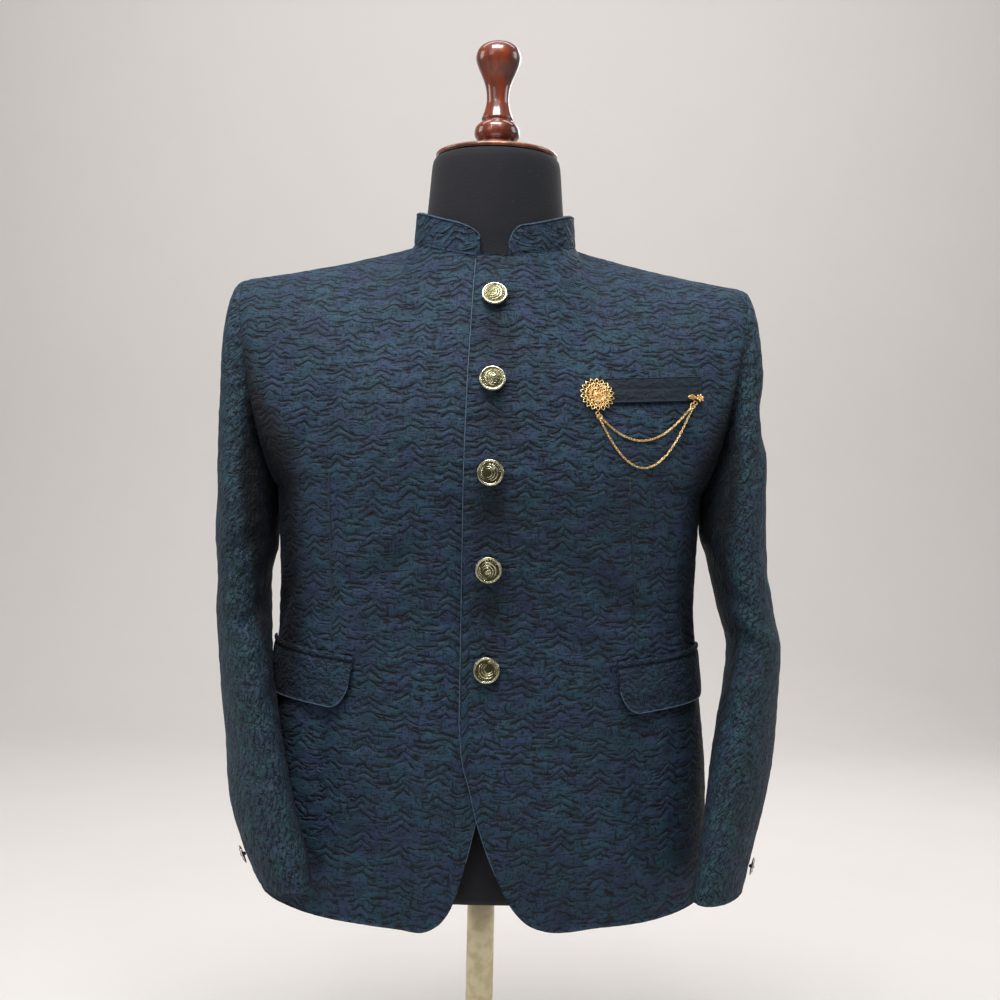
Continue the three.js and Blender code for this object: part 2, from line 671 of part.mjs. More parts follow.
function addOrnament() {
  const star = new THREE.Shape();
  const points = BROOCH.rays * 2;
  for (let i = 0; i < points; i += 1) {
    const radius = i % 2 ? BROOCH.radius * 0.84 : BROOCH.radius;
    const angle = (i / points) * Math.PI * 2;
    const place = [radius * Math.cos(angle), radius * Math.sin(angle)];
    if (i === 0) star.moveTo(...place);
    else star.lineTo(...place);
  }
  const sunburst = new THREE.ExtrudeGeometry(star, { depth: BROOCH.thickness, bevelEnabled: false });
  const broochPlace = frontPoint(BROOCH.x, BROOCH.z, ON_WELT + 0.5);
  seat(addPiece(jacket, 'brooch', sunburst, COLOURS.gold), broochPlace.point, broochPlace.normal);

  const leaf = new THREE.Shape();
  leaf.moveTo(-LEAF_PIN.length / 2, 0);
  leaf.quadraticCurveTo(0, LEAF_PIN.width, LEAF_PIN.length / 2, 0);
  leaf.quadraticCurveTo(0, -LEAF_PIN.width, -LEAF_PIN.length / 2, 0);
  const leafDepth = { depth: LEAF_PIN.thickness, bevelEnabled: false, curveSegments: 6 };
  const leafPlace = frontPoint(LEAF_PIN.x, LEAF_PIN.z, ON_WELT + 0.3);
  const leafSolid = new THREE.ExtrudeGeometry(leaf, leafDepth);
  seat(addPiece(jacket, 'leaf_pin', leafSolid, COLOURS.gold), leafPlace.point, leafPlace.normal);

  for (const chain of CHAINS) {
    const route = steps(12).map((t) => {
      const x = mix(chain.fromX, chain.toX, t);
      const z = mix(BROOCH.z - BROOCH.radius - 3, LEAF_PIN.z - LEAF_PIN.width / 2 - 4, t) - chain.sag * 4 * t * (1 - t);
      const overWelt = ease(BREAST_WELT.topZ - BREAST_WELT.height - 12, BREAST_WELT.topZ - BREAST_WELT.height, z);
      return frontPoint(x, z, SEAM_GAP + CHAIN_THICKNESS / 2 + overWelt * (BREAST_WELT.wall + SEAM_GAP)).point;
    });
    const section = new THREE.Shape();
    section.absarc(0, 0, CHAIN_THICKNESS / 2, 0, Math.PI * 2);
    const along = { extrudePath: new THREE.CatmullRomCurve3(route), steps: 26, curveSegments: 3, bevelEnabled: false };
    addPiece(jacket, chain.name, new THREE.ExtrudeGeometry(section, along), COLOURS.gold);
  }
}

// The limbless form under the jacket. Its shoulders carry the cloth, and below them it stands off a little more.
const FORM_GAP = [
  { height: 280, gap: 12 },
  { height: 420, gap: 12 },
  { height: 560, gap: 13 },
  { height: 690, gap: 9 },
];
const FORM_NECK_Y = NECK.middleY - 3.5;
const FORM_NECK = [
  { z: 943.5, halfWidth: 75, halfDepth: 64 },
  { z: 958, halfWidth: 72, halfDepth: 63 },
  { z: 990, halfWidth: 69, halfDepth: 62 },
  { z: 1014, halfWidth: 67, halfDepth: 61 },
  { z: 1030, halfWidth: 65.5, halfDepth: 60 },
  { z: FORM_TOP_Z, halfWidth: 63.5, halfDepth: 58 },
];
const FORM_NECK_GAP = 8;
const FORM_SHOULDER_GAP = 1.4;
const FORM_SHOULDER_PART = 0.93;

function formPoint(face, wanted, height) {
  const rise = Math.max(0, height - UNDERARM_Z);
  const around = wanted * mix(1, FORM_SHOULDER_PART, ease(0, 0.3, rise));
  const low = lookup(FORM_GAP, 'height', 'gap', Math.min(height, UNDERARM_Z));
  const share = NECK_SHARE[face];
  const high = mix(FORM_NECK_GAP, FORM_SHOULDER_GAP, ease(share * 0.7, share, Math.abs(around)));
  const gap = mix(low, high, ease(0, 0.92, rise));
  return bodyPoint(face, around, height).addScaledVector(bodyNormal(face, around, height), -(WALL + gap));
}

const FORM_NECK_STEPS = 10;
const FORM_SHOULDER_STEPS = 5;
const FORM_CAP_STEPS = 3;

function formRing(height) {
  const share = NECK_SHARE.front / FORM_SHOULDER_PART;
  const out = steps(FORM_NECK_STEPS).map((t) => mix(-share, share, t));
  const shoulder = steps(FORM_SHOULDER_STEPS).map((t) => mix(share, 1, t)).slice(1);
  const around = [...shoulder.map((a) => -a).reverse(), ...out, ...shoulder];
  const front = around.map((a) => formPoint('front', a, height));
  const back = [...around].reverse().map((a) => formPoint('back', a, height));
  const bulge = height <= UNDERARM_Z ? 0 : 9 * Math.sin(Math.PI * Math.sqrt(height - UNDERARM_Z));
  const cap = (from, to, side) =>
    steps(FORM_CAP_STEPS + 1).slice(1, -1).map((t) => {
      const p = from.clone().lerp(to, t);
      p.x += side * Math.max(0, bulge) * Math.sin(Math.PI * t);
      return p;
    });
  const right = cap(front[front.length - 1], back[0], 1);
  const left = cap(back[back.length - 1], front[0], -1);
  return [...front, ...right, ...back, ...left];
}

function addForm() {
  const low = steps(8).map((t) => mix(FORM_BOTTOM_Z + 6, UNDERARM_Z, t));
  const high = steps(9).slice(1).map((t) => UNDERARM_Z + t);
  const rings = [...low, ...high].map(formRing);
  const foot = rings[0].map((p) => vec(p.x * 0.975, p.y * 0.96, FORM_BOTTOM_Z));
  rings.unshift(foot);
  const top = rings[rings.length - 1];
  const neckFirst = FORM_SHOULDER_STEPS;
  const neckLast = neckFirst + FORM_NECK_STEPS;
  const backFirst = neckLast + FORM_SHOULDER_STEPS + 1 + FORM_CAP_STEPS;
  const loop = [...top.slice(neckFirst, neckLast + 1), ...top.slice(backFirst + neckFirst + 1, backFirst + neckLast)];
  const neckRings = [loop];
  for (const row of FORM_NECK) {
    const ring = loop.map((p) => {
      const angle = Math.atan2((p.y - FORM_NECK_Y) / NECK.front, p.x / NECK.halfWidth);
      return vec(row.halfWidth * Math.cos(angle), FORM_NECK_Y + row.halfDepth * Math.sin(angle), row.z);
    });
    neckRings.push(ring);
  }
  const ends = [...fan(rings[0], true), ...fan(neckRings[neckRings.length - 1], false)];
  const body = solidFrom([...ringSides(rings), ...ringSides(neckRings), ...ends]);
  addPiece(dressForm, 'form_body', body, COLOURS.formCloth);
}

// The turned wood on top of the neck, and the stand below the form.
const CAP = { halfWidth: 63, halfDepth: 57.5, thickness: 5 };
const BASE_HEIGHT = 34;
const FINIAL = [
  [0, 0],
  [24, 0],
  [24.5, 4],
  [23, 9],
  [18.5, 11],
  [22.5, 17],
  [23.5, 22],
  [21.5, 28],
  [15.5, 32],
  [16.5, 36],
  [13.5, 43],
  [11.5, 56],
  [13, 69],
  [19, 82],
  [23, 94],
  [23.5, 99],
  [21, 106],
  [15, 112],
  [7, 115],
  [0, 115.5],
];

function addStand() {
  const rounding = steps(6).map((t) => Math.PI * t);
  const capRings = rounding.map((angle) => {
    const pull = (1 - Math.sin(angle)) * CAP.thickness * 0.45;
    const z = FORM_TOP_Z + SEAM_GAP + (CAP.thickness * (1 - Math.cos(angle))) / 2;
    return steps(32).slice(1).map((t) => {
      const around = Math.PI * 2 * t;
      const x = (CAP.halfWidth - pull) * Math.cos(around);
      return vec(x, FORM_NECK_Y + (CAP.halfDepth - pull) * Math.sin(around), z);
    });
  });
  addPiece(dressForm, 'neck_cap', ringsSolid(capRings), COLOURS.wood);

  const turned = closedLathe(FINIAL.map(([r, h]) => new THREE.Vector2(r, h)), 24);
  const finial = addPiece(dressForm, 'finial', turned, COLOURS.wood);
  finial.position.set(0, FORM_NECK_Y, FORM_TOP_Z + CAP.thickness + SEAM_GAP * 2);

  const baseProfile = [
    [0, 0],
    [BASE_RADIUS, 0],
    [BASE_RADIUS, 8],
    [BASE_RADIUS - 8, 12],
    [40, 16],
    [26, 20],
    [24, BASE_HEIGHT],
    [0, BASE_HEIGHT],
  ];
  const base = closedLathe(baseProfile.map(([r, h]) => new THREE.Vector2(r, h)), 40);
  addPiece(dressForm, 'stand_base', base, COLOURS.base);

  const poleLength = FORM_BOTTOM_Z - BASE_HEIGHT - SEAM_GAP * 2;
  const pole = new THREE.CylinderGeometry(POLE_RADIUS, POLE_RADIUS, poleLength, 24);
  pole.rotateX(Math.PI / 2);
  const poleMesh = addPiece(dressForm, 'stand_pole', pole, COLOURS.pole);
  poleMesh.position.set(0, 0, BASE_HEIGHT + SEAM_GAP + poleLength / 2);
}

addBody();
addSleeves();
addCollar();
addPockets();
addButtons();
addOrnament();
addForm();
addStand();

const group = new THREE.Group();
group.add(jacket, dressForm);

export default group;
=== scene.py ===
"""Looks of a puckered teal jacquard bandhgala jacket on a limbless dress form with a turned wooden finial."""

import bmesh
import bpy
import numpy as np
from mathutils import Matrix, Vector


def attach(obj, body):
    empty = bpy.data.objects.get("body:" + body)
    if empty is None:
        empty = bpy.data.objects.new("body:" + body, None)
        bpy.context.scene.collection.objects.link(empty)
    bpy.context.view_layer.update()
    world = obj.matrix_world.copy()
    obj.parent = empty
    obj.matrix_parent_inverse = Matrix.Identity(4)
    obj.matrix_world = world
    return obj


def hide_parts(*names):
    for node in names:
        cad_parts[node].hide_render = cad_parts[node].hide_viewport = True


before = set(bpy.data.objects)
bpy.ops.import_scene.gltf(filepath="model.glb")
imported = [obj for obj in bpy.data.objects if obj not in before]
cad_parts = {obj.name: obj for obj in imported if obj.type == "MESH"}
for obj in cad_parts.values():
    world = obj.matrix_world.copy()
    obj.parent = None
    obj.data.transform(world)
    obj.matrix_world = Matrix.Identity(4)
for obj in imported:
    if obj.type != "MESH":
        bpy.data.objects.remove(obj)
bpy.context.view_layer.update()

MM = 0.001
UNDERARM = 690.0
FACING = {"front": -1.0, "back": 1.0}
SIDES = {1: "left", -1: "right"}
UP = np.array([0.0, 0.0, 1.0])

# The body of the jacket, level by level, as in the model's own tables. Sizes here are in mm.
BODY_Z = [270, 340, 420, 495, 560, 620, 690]
BODY_HALF_WIDTH = [224, 227, 225, 217, 211, 212, 216]
BODY_DEPTH = {"front": [128, 130, 128, 124, 123, 128, 136], "back": [118, 121, 117, 109, 105, 109, 118]}
SQUARENESS = 2.35
HEM_TOP_FRONT = (
    [-23, -20, -12, -5, 7, 24, 37, 51, 73, 110, 160, 230],
    [470, 437, 407, 379, 345, 308, 290, 280, 275, 278, 280, 288],
)
HEM_UNDER_FRONT = (
    [-23, -8, 5, 14, 24, 31, 41, 55, 76, 110, 160, 230],
    [500, 430, 379, 340, 305, 290, 279, 273, 275, 277, 280, 288],
)
HEM_BACK = ([0, 120, 230], [284, 284, 288])
FRONT_EDGE = ([270, 600, 690], [-22, -23.5, -23.5])
FRONT_EDGE_AT_NECK = -17

NECK_HALF_WIDTH = 84
NECK_DEPTH = {"front": 75, "back": 68}
NECK_Y = 12
NECK_Z = {"front": 920, "side": 941, "back": 950}
NECK_SHARE = 0.4
SHOULDER_TIP = (255, 6, 903)
SHOULDER_DIP = 3
CHEST = {
    "front": {"forward": 4, "middle": (97, 858), "shoulder": (54, 894), "edge_y": 72},
    "back": {"forward": 2, "middle": (112, 886), "shoulder": (76, 894), "edge_y": 84},
}
CHEST_EDGE_Z = 887
CHEST_WIDENING = 1.225

WALL = 2.0
OVERLAP_LIFT = 2.7
SLEEVE_CLEARANCE = 7
SLEEVE_HEAD_SHARE = 0.45
SEAM_GAP = 0.4
HOLLOW_DEPTH = 4.4
BUTTON_HEIGHTS = [876, 792, 705, 615, 520]
LAID_GAP = 0.9

SLEEVES = {
    "right": {
        "side": -1,
        "head_out": 20,
        "z": [640, 575, 533, 480, 440, 387, 345, 318],
        "outer": [276, 275, 272, 265, 258, 247, 228, 213],
        "inner": [222, 221, 213, 203, 192, 177, 162, 156],
        "y": [-6, -14, -28, -52, -68, -94, -113, -121],
        "half_length": [72, 69, 66, 63, 60, 55, 50, 46],
        "turn": [0, 3, 10, 17, 23, 27, 27, 23],
        "dent": (600, 3, 26),
        "touches_from": 630,
        "shade": 1.0,
    },
    "left": {
        "side": 1,
        "head_out": 13,
        "z": [640, 575, 540, 500, 440, 391, 350, 310],
        "outer": [281, 290, 298, 297, 291, 280, 267, 254],
        "inner": [222, 235, 243, 236, 222, 213, 206, 198],
        "y": [-6, -14, -20, -34, -56, -76, -91, -102],
        "half_length": [72, 69, 67, 65, 61, 57, 54, 50],
        "turn": [0, 3, 6, 12, 21, 25, 25, 22],
        "dent": (771, 8, 24),
        "touches_from": 655,
        "shade": 0.85,
    },
}

# Folds of the cloth, each from one end to the other: across and up at both ends, bow, half width and depth.
# On the body across is the distance from the middle along the cloth, and on a sleeve the turn in degrees.
FRONT_FOLDS = {
    1: [
        (60, 640, 178, 560, 8, 13, 1.5),
        (40, 560, 120, 520, -6, 11, 1.0),
        (150, 500, 165, 330, 5, 15, 1.6),
        (95, 430, 90, 300, -4, 14, 1.3),
        (205, 620, 240, 520, 3, 9, 1.5),
        (210, 560, 255, 470, -4, 10, 1.4),
        (70, 860, 150, 780, 8, 16, 1.2),
        (170, 770, 205, 700, -4, 10, 1.8),
        (30, 760, 36, 660, 2, 9, 0.8),
    ],
    -1: [
        (45, 650, 150, 590, 7, 12, 1.3),
        (160, 520, 150, 350, -6, 16, 1.8),
        (110, 470, 60, 340, 6, 13, 1.4),
        (200, 610, 245, 540, -3, 9, 1.6),
        (205, 520, 250, 440, 4, 10, 1.3),
        (60, 870, 140, 800, -7, 15, 1.1),
        (165, 790, 200, 705, 5, 11, 1.9),
        (90, 740, 60, 640, 3, 12, 0.9),
    ],
}
BACK_FOLDS = {
    1: [
        (30, 640, 120, 600, 6, 12, 1.5),
        (70, 560, 190, 600, -8, 13, 1.7),
        (120, 480, 135, 320, 5, 16, 1.6),
        (190, 540, 235, 470, -4, 10, 1.4),
        (60, 820, 160, 760, 9, 17, 1.3),
        (190, 760, 225, 690, -4, 10, 1.6),
    ],
    -1: [
        (20, 620, 130, 575, -6, 12, 1.4),
        (80, 520, 180, 575, 7, 13, 1.5),
        (105, 450, 90, 310, -5, 15, 1.5),
        (185, 610, 230, 520, 4, 10, 1.7),
        (50, 850, 150, 800, -8, 16, 1.2),
        (180, 790, 220, 700, 4, 11, 1.5),
    ],
}
SLEEVE_FOLDS = {
    "right": [
        (150, 640, 60, 600, 6, 11, 2.6),
        (170, 590, 70, 545, -6, 10, 2.9),
        (140, 540, 30, 560, 5, 9, 2.0),
        (165, 515, 90, 470, -5, 10, 2.4),
        (20, 700, 75, 640, 6, 12, 1.8),
        (-60, 560, 10, 590, 5, 11, 1.8),
        (-80, 640, -20, 700, -5, 12, 1.6),
        (60, 440, 130, 400, 4, 10, 1.6),
        (0, 860, 30, 760, 4, 13, 1.4),
        (100, 850, 115, 760, -4, 10, 1.8),
        (200, 600, 260, 560, 5, 11, 2.0),
        (210, 520, 270, 480, -4, 11, 1.9),
        (250, 700, 230, 620, 4, 12, 1.5),
    ],
    "left": [
        (165, 610, 70, 575, -6, 11, 2.4),
        (150, 560, 60, 520, 6, 10, 2.8),
        (175, 500, 95, 455, 5, 10, 2.3),
        (15, 760, 80, 700, -5, 12, 2.2),
        (0, 600, 60, 640, 5, 12, 1.7),
        (-70, 520, 5, 560, -5, 11, 1.9),
        (-80, 700, -25, 740, 5, 12, 1.5),
        (50, 430, 125, 385, -4, 10, 1.5),
        (105, 840, 120, 740, 4, 10, 1.9),
        (205, 640, 265, 590, -5, 11, 2.0),
        (200, 500, 260, 540, 4, 11, 1.8),
        (255, 760, 235, 660, -4, 12, 1.6),
    ],
}
FOLD_DEPTH = 1.8
SLEEVE_GRAIN = np.radians(64)
DARTS = {1: (133, 703, 146, 540), -1: (148, 540, 152, 703)}
POINTS_PER_CELL = 6


# Small sums.
def mix(a, b, t):
    return a + (b - a) * t


def ease(start, end, at):
    t = np.clip((at - start) / (end - start), 0, 1)
    return t * t * (3 - 2 * t)


def unit(v):
    return v / np.maximum(np.linalg.norm(v, axis=-1, keepdims=True), 1e-9)


def places(x, y, z):
    return np.stack(np.broadcast_arrays(x, y, z), -1).astype(float)


def paired(a, b):
    return np.broadcast_arrays(np.asarray(a, float), np.asarray(b, float))


def in_table(keys, values, at):
    """A smooth value between the rows of a table."""
    keys, values = np.array(keys, float), np.array(values, float)
    if keys[0] > keys[-1]:
        keys, values = keys[::-1], values[::-1]
    last = len(keys) - 1
    at = np.clip(at, keys[0], keys[-1])
    row = np.clip(np.searchsorted(keys, at, side="right") - 1, 0, last - 1)
    low = np.maximum(np.arange(last + 1) - 1, 0)
    high = np.minimum(np.arange(last + 1) + 1, last)
    slope = (values[high] - values[low]) / (keys[high] - keys[low])
    width = keys[row + 1] - keys[row]
    t = (at - keys[row]) / width
    step = values[row + 1] - values[row]
    bend = t * (1 - t) * ((1 - t) * (slope[row] * width - step) - t * (slope[row + 1] * width - step))
    return values[row] + step * t + bend


def halve_to(rising, goal, low, high, rounds=26):
    """The place between low and high at which a rising value reaches the goal."""
    a = np.zeros(np.shape(goal)) + low
    b = np.zeros(np.shape(goal)) + high
    for _ in range(rounds):
        middle = (a + b) / 2
        under = rising(middle) < goal
        a = np.where(under, middle, a)
        b = np.where(under, b, middle)
    return (a + b) / 2


def bezier(p0, p1, p2, p3, t):
    t = np.asarray(t, float)[..., None]
    s = 1 - t
    return p0 * s**3 + p1 * 3 * s * s * t + p2 * 3 * s * t * t + p3 * t**3


# The surface of the jacket's body: around is 0 in the middle of a face and 1 or -1 at the side seams.
def body_ring(face, around, z):
    half = in_table(BODY_Z, BODY_HALF_WIDTH, z)
    depth = in_table(BODY_Z, BODY_DEPTH[face], z)
    angle = np.radians(np.asarray(around) * 90)
    x = np.abs(np.sin(angle)) / half
    y = np.abs(np.cos(angle)) / depth
    reach = (x**SQUARENESS + y**SQUARENESS) ** (-1 / SQUARENESS)
    return places(reach * np.sin(angle), FACING[face] * reach * np.cos(angle), z)


def top_edge(face, around):
    around = np.asarray(around, float)
    out = np.abs(around)
    angle = np.radians(around / NECK_SHARE * 90)
    neck = places(
        NECK_HALF_WIDTH * np.sin(angle),
        NECK_Y + FACING[face] * NECK_DEPTH[face] * np.cos(angle),
        mix(NECK_Z[face], NECK_Z["side"], np.sin(angle) ** 2),
    )
    along = np.clip((out - NECK_SHARE) / (1 - NECK_SHARE), 0, None)
    shoulder = places(
        np.where(around < 0, -1, 1) * mix(NECK_HALF_WIDTH, SHOULDER_TIP[0], along),
        mix(NECK_Y, SHOULDER_TIP[1], along),
        mix(NECK_Z["side"], SHOULDER_TIP[2], along) - SHOULDER_DIP * np.sin(np.pi * along),
    )
    return np.where((out <= NECK_SHARE)[..., None], neck, shoulder)


def body_upper(face, around, rise):
    around, rise = paired(around, rise)
    side = np.where(around < 0, -1, 1)
    out = np.abs(around)
    facing = FACING[face]
    chest = CHEST[face]
    edge = ease(0.55, 1, out)
    low = body_ring(face, around, np.full(np.shape(around), UNDERARM))
    leave = low + places(side * 12 * out**4, facing * mix(chest["forward"], 70, edge), mix(82, 14, edge))
    over = ease(0, 0.6, out)
    y, z = (mix(chest["middle"][k], chest["shoulder"][k], over) for k in (0, 1))
    y = facing * mix(y, chest["edge_y"], edge)
    arrive = places(low[..., 0] * CHEST_WIDENING, y, mix(z, CHEST_EDGE_Z, edge))
    return bezier(low, leave, arrive, top_edge(face, around), rise)


def body_place(face, around, height):
    around, height = paired(around, height)
    low = body_ring(face, around, np.minimum(height, UNDERARM))
    high = body_upper(face, around, np.clip(height - UNDERARM, 0, 1.01))
    return np.where((height > UNDERARM)[..., None], high, low)


def body_normal(face, around, height):
    around, height = paired(around, height)
    upper = height > UNDERARM
    inside = np.clip(height, UNDERARM + 0.003, UNDERARM + 0.998)
    level = np.where(upper, inside, np.minimum(height, UNDERARM - 0.02))
    step = np.where(upper, 0.002, 0.02)
    out = np.clip(around, -0.998, 0.998)
    across = body_place(face, out + 0.002, level) - body_place(face, out - 0.002, level)
    upward = body_place(face, out, level + step) - body_place(face, out, level - step)
    normal = unit(np.cross(across, upward)) * -FACING[face]
    near_seam = ease(0.85, 1, height - UNDERARM) * ease(NECK_SHARE * 0.7, NECK_SHARE, np.abs(around))
    return unit(mix(normal, UP, near_seam[..., None]))


def front_edge_table():
    heights = np.concatenate([np.linspace(270, UNDERARM, 220), UNDERARM + np.linspace(0.001, 1, 160)])
    rise = np.clip(heights - UNDERARM, 0, 1)
    low = in_table(*FRONT_EDGE, heights)
    x = np.where(heights <= UNDERARM, low, mix(-23.5, FRONT_EDGE_AT_NECK, rise**1.5))
    around = halve_to(lambda a: body_place("front", a, heights)[..., 0], x, -0.6, 0.6)
    return heights, around


FRONT_EDGE_AROUND = front_edge_table()


def front_at(x, z):
    """The place on the front at x and z, as its surface coordinates."""
    x, z = paired(x, z)

    def around_for(height):
        return halve_to(lambda a: body_place("front", a, height)[..., 0], x, -0.999, 0.999, 20)

    def level(rise):
        height = UNDERARM + rise
        return body_place("front", around_for(height), height)[..., 2]

    high = UNDERARM + halve_to(level, z, 0.0001, 0.9999, 20)
    height = np.where(z <= UNDERARM, z, high)
    return around_for(height), height


def on_front(x, z, lift=0.0):
    around, height = front_at(x, z)
    normal = body_normal("front", around, height)
    return body_place("front", around, height) + normal * np.asarray(lift, float)[..., None], normal


# Flat cuts, folds and puckers.
def flat_cut(solid, start, pinned, rounds=900):
    """The flat layout of a curved sheet: it keeps every short distance as well as it can, and one column."""
    flat = start.copy()
    held = flat[pinned].copy()
    every = slice(None)
    less, more = slice(0, -1), slice(1, None)
    pairs = [((every, less), (every, more)), ((less, every), (more, every)), ((less, less), (more, more))]
    pairs.append(((less, more), (more, less)))
    lengths = [np.linalg.norm(solid[b] - solid[a], axis=-1) for a, b in pairs]
    joins = np.zeros(flat.shape[:2])
    for a, b in pairs:
        joins[a] += 1
        joins[b] += 1
    for _ in range(rounds):
        move = np.zeros(flat.shape)
        for (a, b), length in zip(pairs, lengths):
            gap = flat[b] - flat[a]
            now = np.maximum(np.linalg.norm(gap, axis=-1), 1e-6)
            pull = gap * ((now - length) / now / 2)[..., None]
            move[a] += pull
            move[b] -= pull
        flat += move / joins[..., None] * 1.7
        flat[pinned] = held
    return flat


def finer(coarse, every):
    """The values between the points of a coarse grid."""
    for axis in (0, 1):
        count = coarse.shape[axis] - 1
        fine = np.linspace(0, count, count * every + 1)
        low = np.minimum(fine.astype(int), count - 1)
        t = fine - low
        shape = [1, 1, 1]
        shape[axis] = -1
        coarse = mix(np.take(coarse, low, axis), np.take(coarse, low + 1, axis), t.reshape(shape))
    return coarse


def summed(points, axis):
    lengths = np.linalg.norm(np.diff(points, axis=axis), axis=-1)
    pad = [(0, 0), (0, 0)]
    pad[axis] = (1, 0)
    return np.cumsum(np.pad(lengths, pad), axis=axis)


def folded(across, up, rows):
    """How far soft folds move the cloth out of its smooth form."""
    out = np.zeros(np.shape(across))
    for x0, z0, x1, z1, bow, width, depth in rows:
        dx, dz = x1 - x0, z1 - z0
        length = np.hypot(dx, dz)
        t = ((across - x0) * dx + (up - z0) * dz) / length**2
        off = ((across - x0) * dz - (up - z0) * dx) / length - bow * 4 * t * (1 - t)
        fade = np.sin(np.pi * np.clip(t, 0, 1)) ** 0.8
        beside = 0.4 * np.exp(-(((np.abs(off) - 2 * width) / width) ** 2))
        out -= depth * fade * (np.exp(-((off / width) ** 2)) - beside)
    return out


def puckered(flat, height=0.3):
    """The small uneven puffs between the sewn lines of the cloth."""
    u, v = flat[..., 0], flat[..., 1]
    rows = np.sin(2 * np.pi * (v / 15.7 + 0.35 * np.sin(2 * np.pi * u / 36.6)))
    tufts = np.sin(2 * np.pi * (u / 18.3 + 0.2 * np.sin(2 * np.pi * v / 47)))
    loose = np.sin(2 * np.pi * (u / 61 + v / 83)) * np.sin(2 * np.pi * (v / 39 - u / 97))
    return height * (0.6 * rows * tufts + 0.4 * rows + 0.7 * loose)


def rolled_in(flat, edge, depth=1.0, width=3.2):
    """A sewn edge turns in a little: edge holds the flat places of the seam beside each point."""
    away = np.linalg.norm(flat - edge, axis=-1)
    return -depth * np.exp(-((away / width) ** 2))


# Meshes.
def grid_faces(index):
    corners = [index[:-1, :-1], index[:-1, 1:], index[1:, 1:], index[1:, :-1]]
    return np.stack([c.ravel() for c in corners], -1)


def volume_of(points, faces):
    a, b, c, d = (points[faces[:, k]] for k in range(4))
    return float((np.sum(a * np.cross(b, c)) + np.sum(a * np.cross(c, d))) / 6)


def new_object(name, data):
    made = bpy.data.objects.new(name, data)
    bpy.context.scene.collection.objects.link(made)
    return made


def add_piece(name, points, faces, materials, uv=None, kinds=None):
    """A closed mesh from points in mm: its faces point outwards. kinds gives each face its material."""
    if faces.shape[1] == 4 and volume_of(points, faces) < 0:
        faces = faces[:, ::-1]
    mesh = bpy.data.meshes.new(name)
    mesh.from_pydata((points * MM).tolist(), [], [list(dict.fromkeys(f)) for f in faces.tolist()])
    for material in materials:
        mesh.materials.append(material)
    if uv is not None:
        layer = mesh.uv_layers.new(name="cloth")
        corner = np.zeros(len(mesh.loops), np.int32)
        mesh.loops.foreach_get("vertex_index", corner)
        layer.data.foreach_set("uv", (uv * MM)[corner].ravel())
    if kinds is not None:
        mesh.polygons.foreach_set("material_index", kinds)
    mesh.polygons.foreach_set("use_smooth", np.ones(len(mesh.polygons), bool))
    mesh.update()
    return new_object(name, mesh)


def add_sheet(name, outer, inner, flat, material, edges, shade=None):
    """A thin closed cloth: edges says how round the first and last column and row are, and 0 is a seam.
    shade is painted shade: how far the cloth's colour is darkened where it is tucked away from the light."""
    columns, rows = outer.shape[:2]
    index = np.arange(columns * rows).reshape(columns, rows)
    away = np.zeros(outer.shape)
    away[0] += unit(outer[0] - outer[1]) * edges[0]
    away[-1] += unit(outer[-1] - outer[-2]) * edges[1]
    away[:, 0] += unit(outer[:, 0] - outer[:, 1]) * edges[2]
    away[:, -1] += unit(outer[:, -1] - outer[:, -2]) * edges[3]
    loop = np.concatenate([index[0, :], index[1:, -1], index[-1, -2::-1], index[-2:0:-1, 0]])
    top, bottom, out = (a.reshape(-1, 3)[loop] for a in (outer, inner, away))
    half = np.linalg.norm(top - bottom, axis=-1, keepdims=True) / 2
    rim = []
    for angle in np.radians([36, 72, 108, 144]):
        rim.append((top + bottom) / 2 + (top - bottom) / 2 * np.cos(angle) + out * half * np.sin(angle))
    points = np.concatenate([outer.reshape(-1, 3), inner.reshape(-1, 3), *rim])
    count = columns * rows
    strips = [loop]
    for k in range(len(rim)):
        strips.append(2 * count + k * len(loop) + np.arange(len(loop)))
    strips.append(count + loop)
    ring = np.array([np.append(s, s[0]) for s in strips])
    faces = np.concatenate([grid_faces(index), grid_faces(index)[:, ::-1] + count, grid_faces(ring)])
    flats = flat.reshape(-1, 2)
    uv = np.concatenate([flats, flats] + [flats[loop]] * len(rim))
    piece = add_piece(name, points, faces, [material], uv)
    # The painted shade is stored on the points as the shade attribute.
    if shade is not None:
        values = np.broadcast_to(shade, (columns, rows)).reshape(-1)
        values = np.concatenate([values, values] + [values[loop]] * len(rim)).astype(np.float32)
        piece.data.attributes.new("shade", "FLOAT", "POINT").data.foreach_set("value", values)
    return piece


def settle(piece, node=None):
    """A piece rides on the only body and, where it has a node, hides the solid it stands for."""
    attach(piece, "root")
    if node:
        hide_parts(node)
    return piece


def lay_down(piece, node):
    settle(piece, node)


# Node helpers.
def put(tree, kind, inputs=None, **settings):
    node = tree.nodes.new(kind)
    for key, value in settings.items():
        setattr(node, key, value)
    for key, value in (inputs or {}).items():
        if isinstance(value, bpy.types.NodeSocket):
            tree.links.new(value, node.inputs[key])
        else:
            node.inputs[key].default_value = value
    return node


def calc(tree, operation, *values):
    return put(tree, "ShaderNodeMath", dict(enumerate(values)), operation=operation).outputs[0]


def object_place(tree):
    return put(tree, "ShaderNodeTexCoord").outputs["Object"]


def slope(tree, value, low, high, start=0.0, end=1.0):
    limits = {"Value": value, "From Min": low, "From Max": high, "To Min": start, "To Max": end}
    return put(tree, "ShaderNodeMapRange", limits, interpolation_type="SMOOTHSTEP").outputs[0]


def noise(tree, vector, scale, detail=2.0, output="Fac"):
    inputs = {"Vector": vector, "Scale": scale, "Detail": detail}
    return put(tree, "ShaderNodeTexNoise", inputs).outputs[output]


def blend(tree, factor, a, b, mode="MIX"):
    return put(tree, "ShaderNodeMix", {0: factor, 6: a, 7: b}, data_type="RGBA", blend_type=mode).outputs[2]


